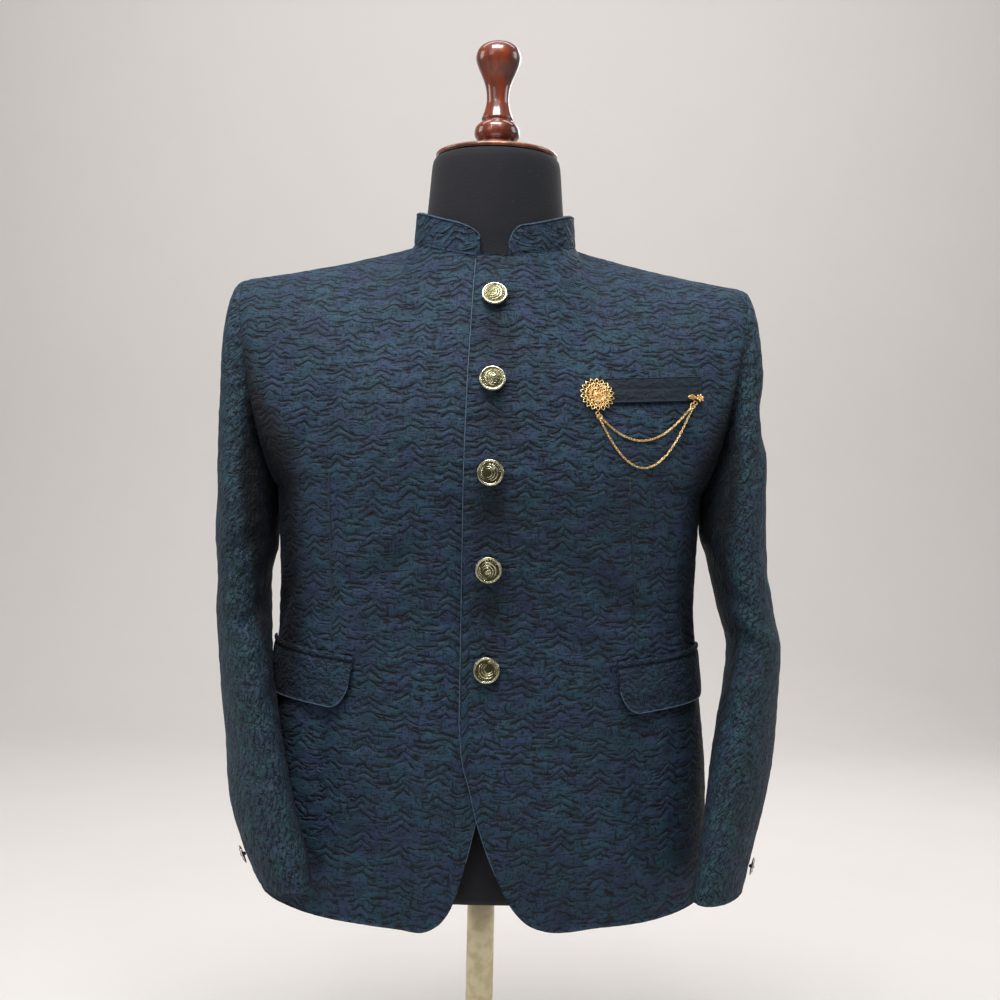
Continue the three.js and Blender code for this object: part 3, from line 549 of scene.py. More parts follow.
def colour(red, green, blue):
    """A colour of a picture, 0 to 255, as the shader takes it."""
    return (*[((c / 255 + 0.055) / 1.055) ** 2.4 if c > 10 else c / 3295 for c in (red, green, blue)], 1.0)


def new_group(name, place, numbers, outputs):
    """A shader group with one vector input, its number inputs and its number outputs."""
    tree = bpy.data.node_groups.new(name, "ShaderNodeTree")
    tree.interface.new_socket(place, in_out="INPUT", socket_type="NodeSocketVector")
    for label, value in numbers.items():
        tree.interface.new_socket(label, in_out="INPUT", socket_type="NodeSocketFloat").default_value = value
    for label in outputs:
        tree.interface.new_socket(label, in_out="OUTPUT", socket_type="NodeSocketFloat")
    return tree, tree.nodes.new("NodeGroupInput").outputs, tree.nodes.new("NodeGroupOutput").inputs


def new_material(name, roughness=0.6, **constants):
    material = bpy.data.materials.new(name)
    material.use_nodes = True
    tree = material.node_tree
    shader = tree.nodes["Principled BSDF"]
    shader.inputs["Roughness"].default_value = roughness
    for key, value in constants.items():
        shader.inputs[key.replace("_", " ")].default_value = value
    return material, tree, shader


def raise_by(tree, shader, height, distance, strength=1.0):
    bump = put(tree, "ShaderNodeBump", {"Height": height, "Distance": distance, "Strength": strength})
    tree.links.new(bump.outputs["Normal"], shader.inputs["Normal"])


WEAVE = {"Repeat Across": 36.6, "Repeat Up": 31.5, "Line": 0.95, "Order": 1.0, "Loose Threads": 0.65}


def add_jacquard_group():
    """The sewn relief of the cloth: broken stacks of chevrons, with dashes and a few ticks between them."""
    tree, given, made = new_group("jacquard relief", "Cloth", WEAVE, ["Groove", "Height", "Patch", "Painted Puff Light"])

    def math(operation, *values):
        return calc(tree, operation, *values)

    def times(first, *rest):
        for value in rest:
            first = math("MULTIPLY", first, value)
        return first

    def largest(first, *rest):
        for value in rest:
            first = math("MAXIMUM", first, value)
        return first

    def away_from(value, place):
        return math("ABSOLUTE", math("SUBTRACT", value, place))

    def scaled(vector, x, y, shift=0.0):
        inputs = {0: vector, 1: (x, y, 0), 2: (shift, shift, 0)}
        return put(tree, "ShaderNodeVectorMath", inputs, operation="MULTIPLY_ADD").outputs[0]

    flat = scaled(given["Cloth"], 1000, 1000)
    drift = scaled(noise(tree, flat, 0.03, 1.0, "Color"), 11, 9, -5)
    shake = scaled(noise(tree, flat, 0.13, 0.0, "Color"), 3.8, 3.0, -1.7)
    moved = flat
    for push in (drift, shake):
        moved = put(tree, "ShaderNodeVectorMath", {0: moved, 1: push}, operation="ADD").outputs[0]
    u, v, _ = put(tree, "ShaderNodeSeparateXYZ", {0: moved}).outputs
    wide, tall = given["Repeat Across"], given["Repeat Up"]
    wander = noise(tree, flat, 0.09, 1.0)
    thick = times(given["Line"], slope(tree, wander, 0.3, 0.66, 0.75, 1.5))

    def repeat_of(number, value, turn):
        step = math("FRACT", times(math("SINE", number), turn))
        return math("FLOORED_MODULO", math("MULTIPLY_ADD", step, tall, value), tall)

    def line_at(distance):
        return slope(tree, math("DIVIDE", distance, thick), 1.3, 0.2)

    def within(value, reach):
        return slope(tree, value, math("ADD", reach, 2), reach)

    def kept(shift, across, up, low, high):
        return slope(tree, noise(tree, scaled(flat, across, up, shift), 1.0, 0.0), low, high)

    # Chevrons: a peak whose arms drop and then run level for a little.
    number = math("FLOOR", math("ADD", math("DIVIDE", u, wide), 0.5))
    off = away_from(u, times(number, wide))
    roof = math("MULTIPLY_ADD", math("SMOOTH_MIN", off, 9.5, 2.0), 0.62, v)
    level = repeat_of(number, roof, 7.37)
    beat = away_from(math("FLOORED_MODULO", level, 7.2), 3.6)
    reach = math("MULTIPLY_ADD", wander, 13.0, 6.0)
    stack_top = slope(tree, level, 22.2, 21.4)
    in_stack = times(stack_top, within(off, reach), kept(31.0, 0.07, 0.14, 0.30, 0.40), given["Order"])
    chevrons = times(line_at(beat), in_stack)
    wide_chevrons = times(slope(tree, beat, 3.5, 0.1), in_stack)

    # Dashes and a few ticks between the stacks.
    between = math("FLOOR", math("DIVIDE", u, wide))
    aside = math("SUBTRACT", u, times(math("ADD", between, 0.5), wide))
    tilted = math("MULTIPLY_ADD", aside, math("MULTIPLY_ADD", wander, 0.5, -0.25), v)
    rung = repeat_of(between, tilted, 5.61)
    dash_reach = math("MULTIPLY_ADD", wander, 14.0, 1.5)
    near = within(math("ABSOLUTE", aside), dash_reach)
    near = times(near, kept(77.0, 0.06, 0.16, 0.42, 0.5), given["Order"])
    distances = [away_from(rung, at) for at in (3.4, 8.0, 19.5, 25.0)]
    dashes = times(largest(*[line_at(d) for d in distances]), near)
    wide_dashes = times(largest(*[slope(tree, d, 3.2, 0.1) for d in distances]), near)
    lean = math("MULTIPLY_ADD", math("SUBTRACT", rung, 15), 0.16, aside)
    ticks = largest(*[line_at(away_from(lean, at)) for at in (-5.0, 3.2)])
    tick_height = slope(tree, away_from(rung, 14), 6.4, 5.2)
    ticks = times(ticks, times(tick_height, kept(113.0, 0.09, 0.05, 0.5, 0.56)), 0.8)

    # Loose short threads all over, most of them level.
    level_threads = times(kept(9.0, 0.16, 0.6, 0.57, 0.66), given["Loose Threads"])
    steep_threads = times(kept(53.0, 0.62, 0.2, 0.60, 0.69), given["Loose Threads"])
    lines = largest(chevrons, dashes, ticks, level_threads, steep_threads)
    groove = times(lines, slope(tree, noise(tree, flat, 0.2, 0.0), 0.32, 0.5, 0.45, 1.0))

    height = math("MULTIPLY_ADD", largest(wide_chevrons, wide_dashes), -0.36, 0.3)
    puffs = noise(tree, scaled(flat, 0.062, 0.1, 5.0), 1.0, 0.0)
    crinkle = noise(tree, flat, 0.3, 3.0)
    for form, amount in ((puffs, 1.5), (groove, -0.5), (crinkle, 0.42)):
        height = math("MULTIPLY_ADD", form, amount, height)
    tree.links.new(groove, made["Groove"])
    tree.links.new(height, made["Height"])
    tree.links.new(slope(tree, noise(tree, flat, 0.035, 3.0), 0.38, 0.62), made["Patch"])
    # Painted light and shade: the cloth colour is lighter where the relief is high and darker where it is
    # low.
    tree.links.new(slope(tree, height, 0.55, 1.35), made["Painted Puff Light"])
    return tree


def jacquard(name, threads, depth, sizes):
    """Puckered jacquard: blue and green threads in patches, dark in the sewn lines, with a soft sheen,
    painted light and shade on the puffs, painted highlight specks and painted shade where the shade attribute
    says.
    """
    material, tree, shader = new_material(name, Sheen_Weight=0.1, Sheen_Roughness=0.4, Specular_IOR_Level=0.3)
    shader.inputs["Sheen Tint"].default_value = colour(120, 150, 185)
    blue, teal, groove_colour = (colour(*thread) for thread in threads)
    cloth = put(tree, "ShaderNodeUVMap", uv_map="cloth").outputs[0]
    weave = put(tree, "ShaderNodeGroup", {"Cloth": cloth, **WEAVE, **sizes}, node_tree=RELIEF).outputs
    thread = noise(tree, cloth, 900.0, 2.0)
    broad = slope(tree, noise(tree, cloth, 11.0, 2.0), 0.3, 0.7)
    body = blend(tree, weave["Patch"], blue, teal)
    # Painted light and shade on the puffs: the colour goes towards the groove colour where the relief is low
    # and keeps the plain colour where it is high.
    low = blend(tree, 0.52, body, groove_colour)
    body = blend(tree, weave["Painted Puff Light"], low, body)
    body = blend(tree, calc(tree, "MULTIPLY", broad, 0.55), body, low)
    # Painted highlight: small light specks at random, for the sheen of single threads.
    body = blend(tree, slope(tree, thread, 0.62, 0.8, 0.0, 0.35), body, colour(96, 128, 156))
    body = blend(tree, weave["Groove"], body, groove_colour)
    # Painted shade: the shade attribute darkens the colour towards near black where the cloth is tucked away
    # from the light.
    shade = put(tree, "ShaderNodeAttribute", attribute_name="shade").outputs["Fac"]
    dark = tuple(c * 0.15 for c in groove_colour[:3]) + (1.0,)
    tree.links.new(blend(tree, shade, body, dark), shader.inputs["Base Color"])
    tree.links.new(slope(tree, thread, 0.2, 0.8, 0.62, 0.86), shader.inputs["Roughness"])
    raise_by(tree, shader, weave["Height"], depth)
    return material


RELIEF = add_jacquard_group()
CLOTH = jacquard("teal jacquard", [(41, 57, 84), (36, 66, 82), (7, 12, 20)], 0.0017, {})
SLEEVE_CLOTH = jacquard(
    "sleeve jacquard",
    [(43, 63, 82), (40, 71, 79), (7, 12, 19)],
    0.0023,
    {"Repeat Across": 25.0, "Repeat Up": 22.0, "Line": 0.8, "Order": 0.45, "Loose Threads": 1.0},
)
FLAP_CLOTH = jacquard(
    "flap jacquard",
    [(37, 53, 78), (33, 61, 77), (8, 15, 26)],
    0.0019,
    {"Repeat Across": 24.0, "Repeat Up": 21.0, "Line": 0.8, "Order": 0.6, "Loose Threads": 0.9},
)
# The breast welt's cloth is the same jacquard in darker colours: painted shade, for a welt that faces away
# from the light.
SHADED_WELT_CLOTH = jacquard(
    "shaded welt jacquard",
    [(22, 33, 48), (21, 36, 48), (11, 18, 28)],
    0.0006,
    {"Repeat Across": 24.0, "Repeat Up": 21.0, "Line": 0.5},
)


# The jacket's body. Cells are the coarse cells of a panel across, below the underarm and above it.
PANEL_CELLS = {"front": (13, 20, 10), "back": (10, 19, 10)}
HEMS = {
    ("front", 1): HEM_TOP_FRONT,
    ("front", -1): HEM_UNDER_FRONT,
    ("back", 1): HEM_BACK,
    ("back", -1): HEM_BACK,
}
BODY_FOLDS = {"front": FRONT_FOLDS, "back": BACK_FOLDS}
# How much painted shade darkens each side's front beside the sleeve, and how far round that starts.
BESIDE_SLEEVE = {1: (0.85, 0.74), -1: (1.0, 0.68)}


def steps(count, axis=0):
    """Even steps from 0 to 1 along one axis of a grid."""
    return np.expand_dims(np.linspace(0, 1, count + 1), 1 - axis)


def body_grid(face, hem):
    """The turns and heights of a panel's grid, from its hem and front edge to its side and shoulder."""
    columns, low_rows, high_rows = (count * POINTS_PER_CELL for count in PANEL_CELLS[face])
    column = steps(columns) ** (1.25 if face == "front" else 1)

    def start(height):
        return np.interp(height, *FRONT_EDGE_AROUND) if face == "front" else np.zeros(np.shape(height))

    bottom = np.full(column.shape, float(hem[1][-1]))
    for _ in range(8):
        bottom = in_table(*hem, body_place(face, mix(start(bottom), 1, column), bottom)[..., 0])
    low = mix(bottom, UNDERARM, steps(low_rows, 1))
    high = UNDERARM + steps(high_rows, 1)[:, 1:]
    height = np.concatenate([low, np.broadcast_to(high, (columns + 1, high_rows))], 1)
    return mix(start(height), 1, column), height


def body_flat(face, point, around):
    """The flat cut of a panel, in mm from the middle and the underarm level."""
    coarse = point[::POINTS_PER_CELL, ::POINTS_PER_CELL]
    turns = np.linspace(-0.3, 1, 200)
    ring = body_place(face, turns, 600.0)
    arc = np.append(0, np.cumsum(np.linalg.norm(np.diff(ring, axis=0), axis=-1)))
    across = np.interp(around[::POINTS_PER_CELL, ::POINTS_PER_CELL], turns, arc) - np.interp(0, turns, arc)
    level = PANEL_CELLS[face][1]
    flat = np.stack([across, coarse[..., 2] - UNDERARM], -1)
    flat[:, level:, 0] = (summed(coarse, 0) + across[:1])[:, level:]
    flat[:, level:, 1] = summed(coarse, 1)[:, level:] - summed(coarse, 1)[:, level, None]
    return finer(flat_cut(coarse, flat, 0), POINTS_PER_CELL)


def add_body_panel(face, side):
    in_front = face == "front"
    on_top = in_front and side > 0
    around, height = body_grid(face, HEMS[face, side])
    point = body_place(face, around, height)
    normal = body_normal(face, around, height)
    flat = body_flat(face, point, around)
    x, z = point[..., 0], point[..., 2]

    lift = overlap_lift(x) if on_top else 0
    away = lift + FOLD_DEPTH * folded(flat[..., 0], z, BODY_FOLDS[face][side]) + puckered(flat * [side, 1])
    if in_front:
        away += pulled_between_buttons(x * side, z)
        away += 0.9 * np.exp(-(((flat[..., 0] - flat[:1, :, 0]) / 2.6) ** 2)) * (side > 0)
    away += rolled_in(flat, flat[-1][None, :])
    away += rolled_in(flat, flat[:, -1][:, None]) * ease(0.9, 1, np.abs(around) / NECK_SHARE)
    pattern = flat * [side, 1.0]
    # Painted shade beside the sleeve.
    shade = beside_sleeve(face, side, around, z)
    if in_front:
        x0, z0, x1, z1 = DARTS[side]
        t = (z - z0) / (z1 - z0)
        taper = np.sin(np.pi * np.clip(t, 0, 1)) ** 0.5
        off = x - mix(x0, x1, t)
        away -= 1.1 * taper * np.exp(-((off / 2.4) ** 2))
        pattern[..., 0] += side * 7 * taper * ease(-0.6, 0.6, off)
        # Painted shade in the hollows between the buttons and under the top edge at the neck.
        hollow = -pulled_between_buttons(x * side, z) / HOLLOW_DEPTH
        below_neck = np.exp(-(((z - 913) / 6) ** 2) - ((x * side - 4) / 24) ** 2)
        shade = np.maximum(shade, np.maximum(0.5 * hollow, 0.55 * below_neck))
    outer = point + normal * away[..., None]
    inner = outer - normal * WALL
    mirror = [side, 1, 1]
    name, edges = f"{SIDES[side]}_{face}", (int(in_front), 0, 1, 0)
    piece = add_sheet(name, outer * mirror, inner * mirror, pattern, CLOTH, edges, shade)
    lay_down(piece, f"{face}_{SIDES[side]}")
    if in_front:
        add_front_lines(name, outer, side)


def add_front_lines(name, outer, side):
    """The dark line of the dart and a light cord along the free edge, whose light colour is a painted
    highlight.
    """
    mirror = [side, 1, 1]
    x0, z0, x1, z1 = DARTS[side]
    dart = []
    for row in range(outer.shape[1]):
        x, y, z = outer[:, row].T
        t = (z[len(z) // 2] - z0) / (z1 - z0)
        if 0 <= t <= 1:
            at = mix(x0, x1, t)
            dart.append((at, np.interp(at, x, y) - 0.25, np.interp(at, x, z)))
    add_line(f"{name}_dart", np.array(dart) * mirror, 0.6, SEAM_THREAD)
    edge = outer[18::-1, 0]
    if side > 0:
        edge = np.concatenate([edge, outer[0, 1:-2]])
    add_line(f"{name}_edge", (edge - [0, 0.15, 0]) * mirror, 0.4, EDGE_CORD_HIGHLIGHT)


def overlap_lift(x):
    return OVERLAP_LIFT * (1 - ease(26, 80, x))


def pulled_between_buttons(x, z):
    """Hollows in the top front between one button and the next, deeper beside the edge."""
    deep = np.zeros(np.broadcast_shapes(np.shape(x), np.shape(z)))
    for above, below in zip(BUTTON_HEIGHTS, BUTTON_HEIGHTS[1:]):
        middle, reach = (above + below) / 2 + 4, (above - below) * 0.34
        deep += np.exp(-(((z - middle) / reach) ** 2)) * np.exp(-(((x - 5) / 21) ** 2))
    return -HOLLOW_DEPTH * deep


def beside_sleeve(face, side, around, z):
    """How much painted shade darkens the body below the armhole, where the sleeve keeps the light away."""
    if face == "back":
        return 0.5 * ease(0.7, 1, around) * ease(860, 780, z)
    strength, start = BESIDE_SLEEVE[side]
    start = start + 0.16 * ease(720, 820, z)
    return strength * ease(start, start + 0.13, around) * ease(860, 800, z) * ease(280, 420, z)


def add_body():
    for face in FACING:
        for side in SIDES:
            add_body_panel(face, side)


# Sleeves: turn is 0 on the outer side, 90 in front and 180 beside the body.
SLEEVE_PARTS = (("top", -80, 120, 12), ("under", 120, 280, 10))
SLEEVE_HEAD_CELLS = 9
SLEEVE_ARM_CELLS = 14
SLEEVE_TOUCH = 5.5
MM_PER_DEGREE = 0.92


def sleeve_section(sleeve, turn, z):
    def row(column):
        return in_table(sleeve["z"], sleeve[column], z)

    angle = np.radians(row("turn"))
    half_length = row("half_length")
    half_reach = (row("outer") - row("inner")) / 2
    lean = half_length * np.sin(angle)
    half_thick = np.sqrt(np.maximum(half_reach**2 - lean**2, 120)) / np.cos(angle)
    thick = half_thick * np.cos(np.radians(turn))
    long = -half_length * np.sin(np.radians(turn))
    x = (row("outer") + row("inner")) / 2 + thick * np.cos(angle) + long * np.sin(angle)
    y = row("y") - thick * np.sin(angle) + long * np.cos(angle)
    half = in_table(BODY_Z, BODY_HALF_WIDTH, z) + SLEEVE_CLEARANCE
    front = in_table(BODY_Z, BODY_DEPTH["front"], z)
    back = in_table(BODY_Z, BODY_DEPTH["back"], z)
    depth = np.where(y < 0, front, back) + SLEEVE_CLEARANCE
    reach = ((np.abs(x) / half) ** SQUARENESS + (np.abs(y) / depth) ** SQUARENESS) ** (1 / SQUARENESS)
    reach = np.minimum(reach, 1)
    return places(x / reach, y / reach, z)


def armhole_edge(turn):
    wrapped = np.mod(turn, 360)
    in_front = wrapped <= 180
    down = np.where(in_front, wrapped / 180, (360 - wrapped) / 180)
    rise = np.minimum(1 - down, 0.9985)
    made = []
    for face in ("front", "back"):
        point = body_upper(face, np.ones(rise.shape), rise)
        ahead = body_upper(face, np.ones(rise.shape), np.minimum(1, rise + 0.004))
        behind = body_upper(face, np.ones(rise.shape), np.maximum(0, rise - 0.004))
        normal = body_normal(face, np.full(rise.shape, 0.9994), UNDERARM + np.maximum(rise, 0.0001))
        made.append((point, unit(np.cross(ahead - behind, normal)) * -FACING[face]))
    front = in_front[..., None]
    point = np.where(front, made[0][0], made[1][0])
    outward = np.where(front, made[0][1], made[1][1])
    outward = mix(outward, UP, ease(0.16, 0, rise)[..., None])
    outward = mix(outward, np.array([1, 0, -0.2]), ease(0.84, 1, rise)[..., None])
    return point, unit(outward)


def sleeve_place(sleeve, turn, along):
    turn, along = paired(turn, along)
    first, last = sleeve["z"][0], sleeve["z"][-1]
    z = mix(first, last, np.clip((along - SLEEVE_HEAD_SHARE) / (1 - SLEEVE_HEAD_SHARE), 0, None))
    arm = sleeve_section(sleeve, turn, z)
    point, outward = armhole_edge(turn)
    under = ((1 - np.cos(np.radians(turn))) / 2)[..., None]
    start = point + outward * SEAM_GAP
    leave = start + outward * mix(sleeve["head_out"], 13, under)
    end = sleeve_section(sleeve, turn, np.full(turn.shape, float(first)))
    arrive = end + UP * mix(185, 46, under)
    head = bezier(start, leave, arrive, end, np.clip(along / SLEEVE_HEAD_SHARE, 0, 1))
    point = np.where((along > SLEEVE_HEAD_SHARE)[..., None], arm, head)
    z, depth, reach = sleeve["dent"]
    near = np.exp(-(((point[..., 2] - z) / reach) ** 2)) * np.maximum(0, np.cos(np.radians(turn))) ** 2
    return point - places(depth * near, 0, 0)


def sleeve_normal(sleeve, turn, along):
    inside = np.clip(along, 0.004, 0.997)
    at_join = np.abs(inside - SLEEVE_HEAD_SHARE) < 0.004
    inside = np.where(at_join, SLEEVE_HEAD_SHARE - 0.005, inside)
    across = sleeve_place(sleeve, turn + 1, inside) - sleeve_place(sleeve, turn - 1, inside)
    down = sleeve_place(sleeve, turn, inside + 0.003) - sleeve_place(sleeve, turn, inside - 0.003)
    return unit(np.cross(across, down))


def add_sleeve(name, node, sleeve, first, last, columns, folds):
    """The top or the under sleeve, from its first to its last turn round the arm."""
    turn = mix(first, last, steps(columns * POINTS_PER_CELL))
    head = SLEEVE_HEAD_SHARE * steps(SLEEVE_HEAD_CELLS * POINTS_PER_CELL, 1) ** 1.2
    arm = mix(SLEEVE_HEAD_SHARE, 1, steps(SLEEVE_ARM_CELLS * POINTS_PER_CELL, 1))[:, 1:]
    turn, along = np.broadcast_arrays(turn, np.concatenate([head, arm], 1))
    point = sleeve_place(sleeve, turn, along)
    normal = sleeve_normal(sleeve, turn, along)
    z = point[..., 2]

    coarse = point[::POINTS_PER_CELL, ::POINTS_PER_CELL]
    middle = coarse.shape[0] // 2
    across, down = summed(coarse, 0), summed(coarse, 1)
    flat = np.stack([across - across[middle], down[:, SLEEVE_HEAD_CELLS, None] - down], -1)
    flat = finer(flat_cut(coarse, flat, middle), POINTS_PER_CELL)

    side = sleeve["side"]
    folds = [(a * MM_PER_DEGREE, b, c * MM_PER_DEGREE, d, *rest) for a, b, c, d, *rest in folds]
    away = folded(turn * MM_PER_DEGREE, z, folds) + puckered(flat * [side, 1])
    low = sleeve["touches_from"]
    beside = np.maximum(0, -np.cos(np.radians(turn))) ** 2
    away += SLEEVE_TOUCH * beside * ease(low - 30, low, z) * ease(730, 695, z)
    for seam in (flat[0][None, :], flat[-1][None, :], flat[:, 0][:, None]):
        away += rolled_in(flat, seam)
    outer = point + normal * away[..., None]
    inner = outer - normal * WALL
    mirror = [side, 1, 1]
    # Painted shade on the inner side of the sleeve, where it faces the body and the light does not reach.
    dark_from = 116 - 30 * ease(590, 720, z)
    shade = sleeve["shade"] * ease(dark_from, dark_from + 24, turn) * ease(265, 225, turn) * ease(850, 790, z)
    c, s = np.cos(SLEEVE_GRAIN), np.sin(SLEEVE_GRAIN)
    pattern = (flat * [side, 1.0]) @ np.array([[c, s], [-s, c]])
    piece = add_sheet(name, outer * mirror, inner * mirror, pattern, SLEEVE_CLOTH, (0, 0, 0, 1), shade)
    lay_down(piece, node)


def add_sleeves():
    for name, sleeve in SLEEVES.items():
        for part, first, last, columns in SLEEVE_PARTS:
            piece, node = f"{name}_{part}_sleeve", f"{part}_sleeve_{name}"
            add_sleeve(piece, node, sleeve, first, last, columns, SLEEVE_FOLDS[name])


# The stand collar and the pockets. Collar places are in degrees from the middle of the front.
COLLAR_OPEN = 10
COLLAR_FINE_END = 26
COLLAR_HEIGHT = {"front": 29.0, "side": 32, "back": 39.0}
COLLAR_END = {"height": (7, 17), "rounding": (13, 26)}
COLLAR_LEAN = 2
COLLAR_WALL = 3
FLAP_START = 125
FLAP_TOP = 522
FLAP_SLANT = 12
FLAP_LENGTH = 145
FLAP_DROP = 45
FLAP_END_DROP = 8
FLAP_ROUNDING = 26
FLAP_LIFT = {1: 2, -1: 4}
WELT_FLAT_HEIGHT = 10.1
BREAST_WELT_SIDES = (89, 203)
BREAST_WELT_HEIGHT = 23
BREAST_WELT_WALL = 2.2


def neckline(degrees):
    angle = np.radians(degrees)
    back = np.cos(angle) < 0
    depth = np.where(back, NECK_DEPTH["back"], NECK_DEPTH["front"])
    middle = np.where(back, NECK_Z["back"], NECK_Z["front"])
    z = mix(middle, NECK_Z["side"], np.sin(angle) ** 2)
    return places(NECK_HALF_WIDTH * np.sin(angle), NECK_Y - depth * np.cos(angle), z)


def collar_height(degrees):
    side = np.sin(np.radians(degrees)) ** 2
    behind = np.cos(np.radians(degrees)) < 0
    full = mix(np.where(behind, COLLAR_HEIGHT["back"], COLLAR_HEIGHT["front"]), COLLAR_HEIGHT["side"], side)
    on_left = degrees < 180
    end_height, rounding = (np.where(on_left, *COLLAR_END[key]) for key in ("height", "rounding"))
    from_end = np.where(on_left, degrees - COLLAR_OPEN, 360 - COLLAR_OPEN - degrees)
    near = np.clip(np.radians(from_end) * NECK_DEPTH["front"] / rounding, 0, 1)
    return mix(end_height, full, np.sqrt(1 - (1 - near) ** 2))


def add_collar():
    near = np.linspace(0, 1, 31) ** 1.5 * COLLAR_FINE_END
    first, last = COLLAR_OPEN + COLLAR_FINE_END, 360 - COLLAR_OPEN - COLLAR_FINE_END
    round_back = np.linspace(first, last, 181)[1:-1]
    degrees = np.concatenate([COLLAR_OPEN + near, round_back, (360 - COLLAR_OPEN - near)[::-1]])[:, None]
    rise = steps(12, 1)
    inward = places(-np.sin(np.radians(degrees)), np.cos(np.radians(degrees)), 0)
    height = collar_height(degrees)
    point = neckline(degrees) + inward * COLLAR_LEAN * rise[..., None]
    point[..., 2] += SEAM_GAP + height * rise
    along = summed(point[:, :1], 0)
    flat = np.stack(np.broadcast_arrays(along, height * rise), -1)
    wave = 0.5 * np.sin(along / 21) + 0.35 * np.sin(along / 9.7 + 1)
    wave = wave * rise - 0.8 * np.exp(-((rise * height / 2.4) ** 2)) + puckered(flat, 0.22)
    outer = point - inward * wave[..., None]
    inner = point + inward * (COLLAR_WALL - 0.4 * wave[..., None])
    pattern = flat.copy()
    pattern[..., 1] -= 0.36 * np.abs(along - along[len(along) // 2])
    piece = add_sheet("stand_collar", outer, inner, pattern, CLOTH, (0.9, 0.9, 0, 0.9))
    lay_down(piece, "collar")
    add_line("collar_edge", outer[1:-1, -1] + UP * 0.1, 0.42, EDGE_CORD_HIGHLIGHT)


def add_on_front(name, node, side, around, height, flat, inner_lift, outer_lift, shift, edges, held):
    """A small piece of cloth that lies on a front: its outer points come back."""
    point, normal = body_place("front", around, height), body_normal("front", around, height)
    mirror = [side, 1, 1]
    inner = (point + normal * (LAID_GAP + inner_lift)[..., None]) * mirror
    outer = (point + normal * (LAID_GAP + outer_lift)[..., None]) * mirror
    # Painted shade beside the sleeve, as on the front.
    shade = beside_sleeve("front", side, around, height)
    piece = add_sheet(name, outer, inner, flat * [side, 1.0] + shift, FLAP_CLOTH, edges, shade)
    lay_down(piece, node)
    return outer


def add_flaps():
    start = front_at(FLAP_START, FLAP_TOP)[0]
    t = steps(72)
    around = mix(start, 0.95, t)
    top = FLAP_TOP + FLAP_SLANT * t
    near = np.clip(np.minimum(t, 1 - t) * FLAP_LENGTH / FLAP_ROUNDING, 0, 1)
    drop = mix(FLAP_END_DROP, FLAP_DROP, np.sqrt(1 - (1 - near) ** 2))
    for side, name in SIDES.items():
        r = steps(24, 1)
        flat = np.stack(np.broadcast_arrays(t * FLAP_LENGTH, -drop * r), -1)
        lift = FLAP_LIFT[side] * (1 - ease(0, 0.3, t)) * r**2
        swell = 0.7 * np.sin(np.pi * r) * np.sin(np.pi * t) ** 0.5
        wall = 2.4 - 1.1 * np.exp(-((r * drop / 2) ** 2))
        raised = lift + swell + 0.6 * puckered(flat, 0.3) + wall
        piece, node = f"{name}_flap", f"pocket_flap_{name}"
        place = (side, around, top - drop * r, flat)
        outer = add_on_front(piece, node, *place, lift, raised, [61.0, 9.0], (0.8, 0.8, 0, 0.8), "hung")
        add_line(f"{name}_flap_edge", outer[1:-1, -1], 0.42, EDGE_CORD_HIGHLIGHT)

        r = steps(10, 1)
        flat = np.stack(np.broadcast_arrays(t * FLAP_LENGTH, r * WELT_FLAT_HEIGHT), -1)
        roll = 1.2 + 1.7 * np.sqrt(np.maximum(0, 1 - (2 * r - 1) ** 2))
        roll = roll + 0.15 * np.sin(t * 60) * np.sin(np.pi * r)
        piece, node = f"{name}_welt", f"pocket_welt_{name}"
        place = (side, around, top + mix(0.4, 6, r), flat)
        add_on_front(piece, node, *place, np.zeros(roll.shape), roll, [0, 0], (0.5, 0.5, 0, 0), "folded")


def add_breast_welt():
    t, r = steps(72), steps(18, 1)
    x = mix(*BREAST_WELT_SIDES, t)
    around, height = front_at(x, 795 + 8 * t - BREAST_WELT_HEIGHT * r)
    point, normal = body_place("front", around, height), body_normal("front", around, height)
    flat = np.stack(np.broadcast_arrays(x - BREAST_WELT_SIDES[0], -BREAST_WELT_HEIGHT * r), -1)
    away = BREAST_WELT_WALL + 0.6 * puckered(flat, 0.25)
    for at, deep, wide in ((0.46, 0.7, 1.2), (0.9, 0.5, 1.6)):
        away -= deep * np.exp(-(((r - at) * BREAST_WELT_HEIGHT / wide) ** 2))
    inner = point + normal * LAID_GAP
    outer = inner + normal * away[..., None]
    piece = add_sheet("breast_pocket_welt", outer, inner, flat, SHADED_WELT_CLOTH, (0.7, 0.7, 0.9, 0.3))
    lay_down(piece, "breast_welt")


# Turned, drawn and beaded shapes, each as points and faces.
def outward(points, faces):
    return (points, faces) if volume_of(points, faces) > 0 else (points, faces[:, ::-1])


def round_steps(count):
    return np.linspace(0, 2 * np.pi, count, endpoint=False)


def turned(profile, segments):
    """A closed turning round the upright axis, from its foot on the axis to its top on it."""
    angle = round_steps(segments)
    points, index = [], []
    for radius, z in profile:
        first = len(points)
        if radius < 1e-6:
            points.append((0, 0, z))
            index.append(np.full(segments + 1, first))
        else:
            points += [(radius * np.cos(a), radius * np.sin(a), z) for a in angle]
            index.append(np.append(np.arange(segments), 0) + first)
    return outward(np.array(points, float), grid_faces(np.array(index)))


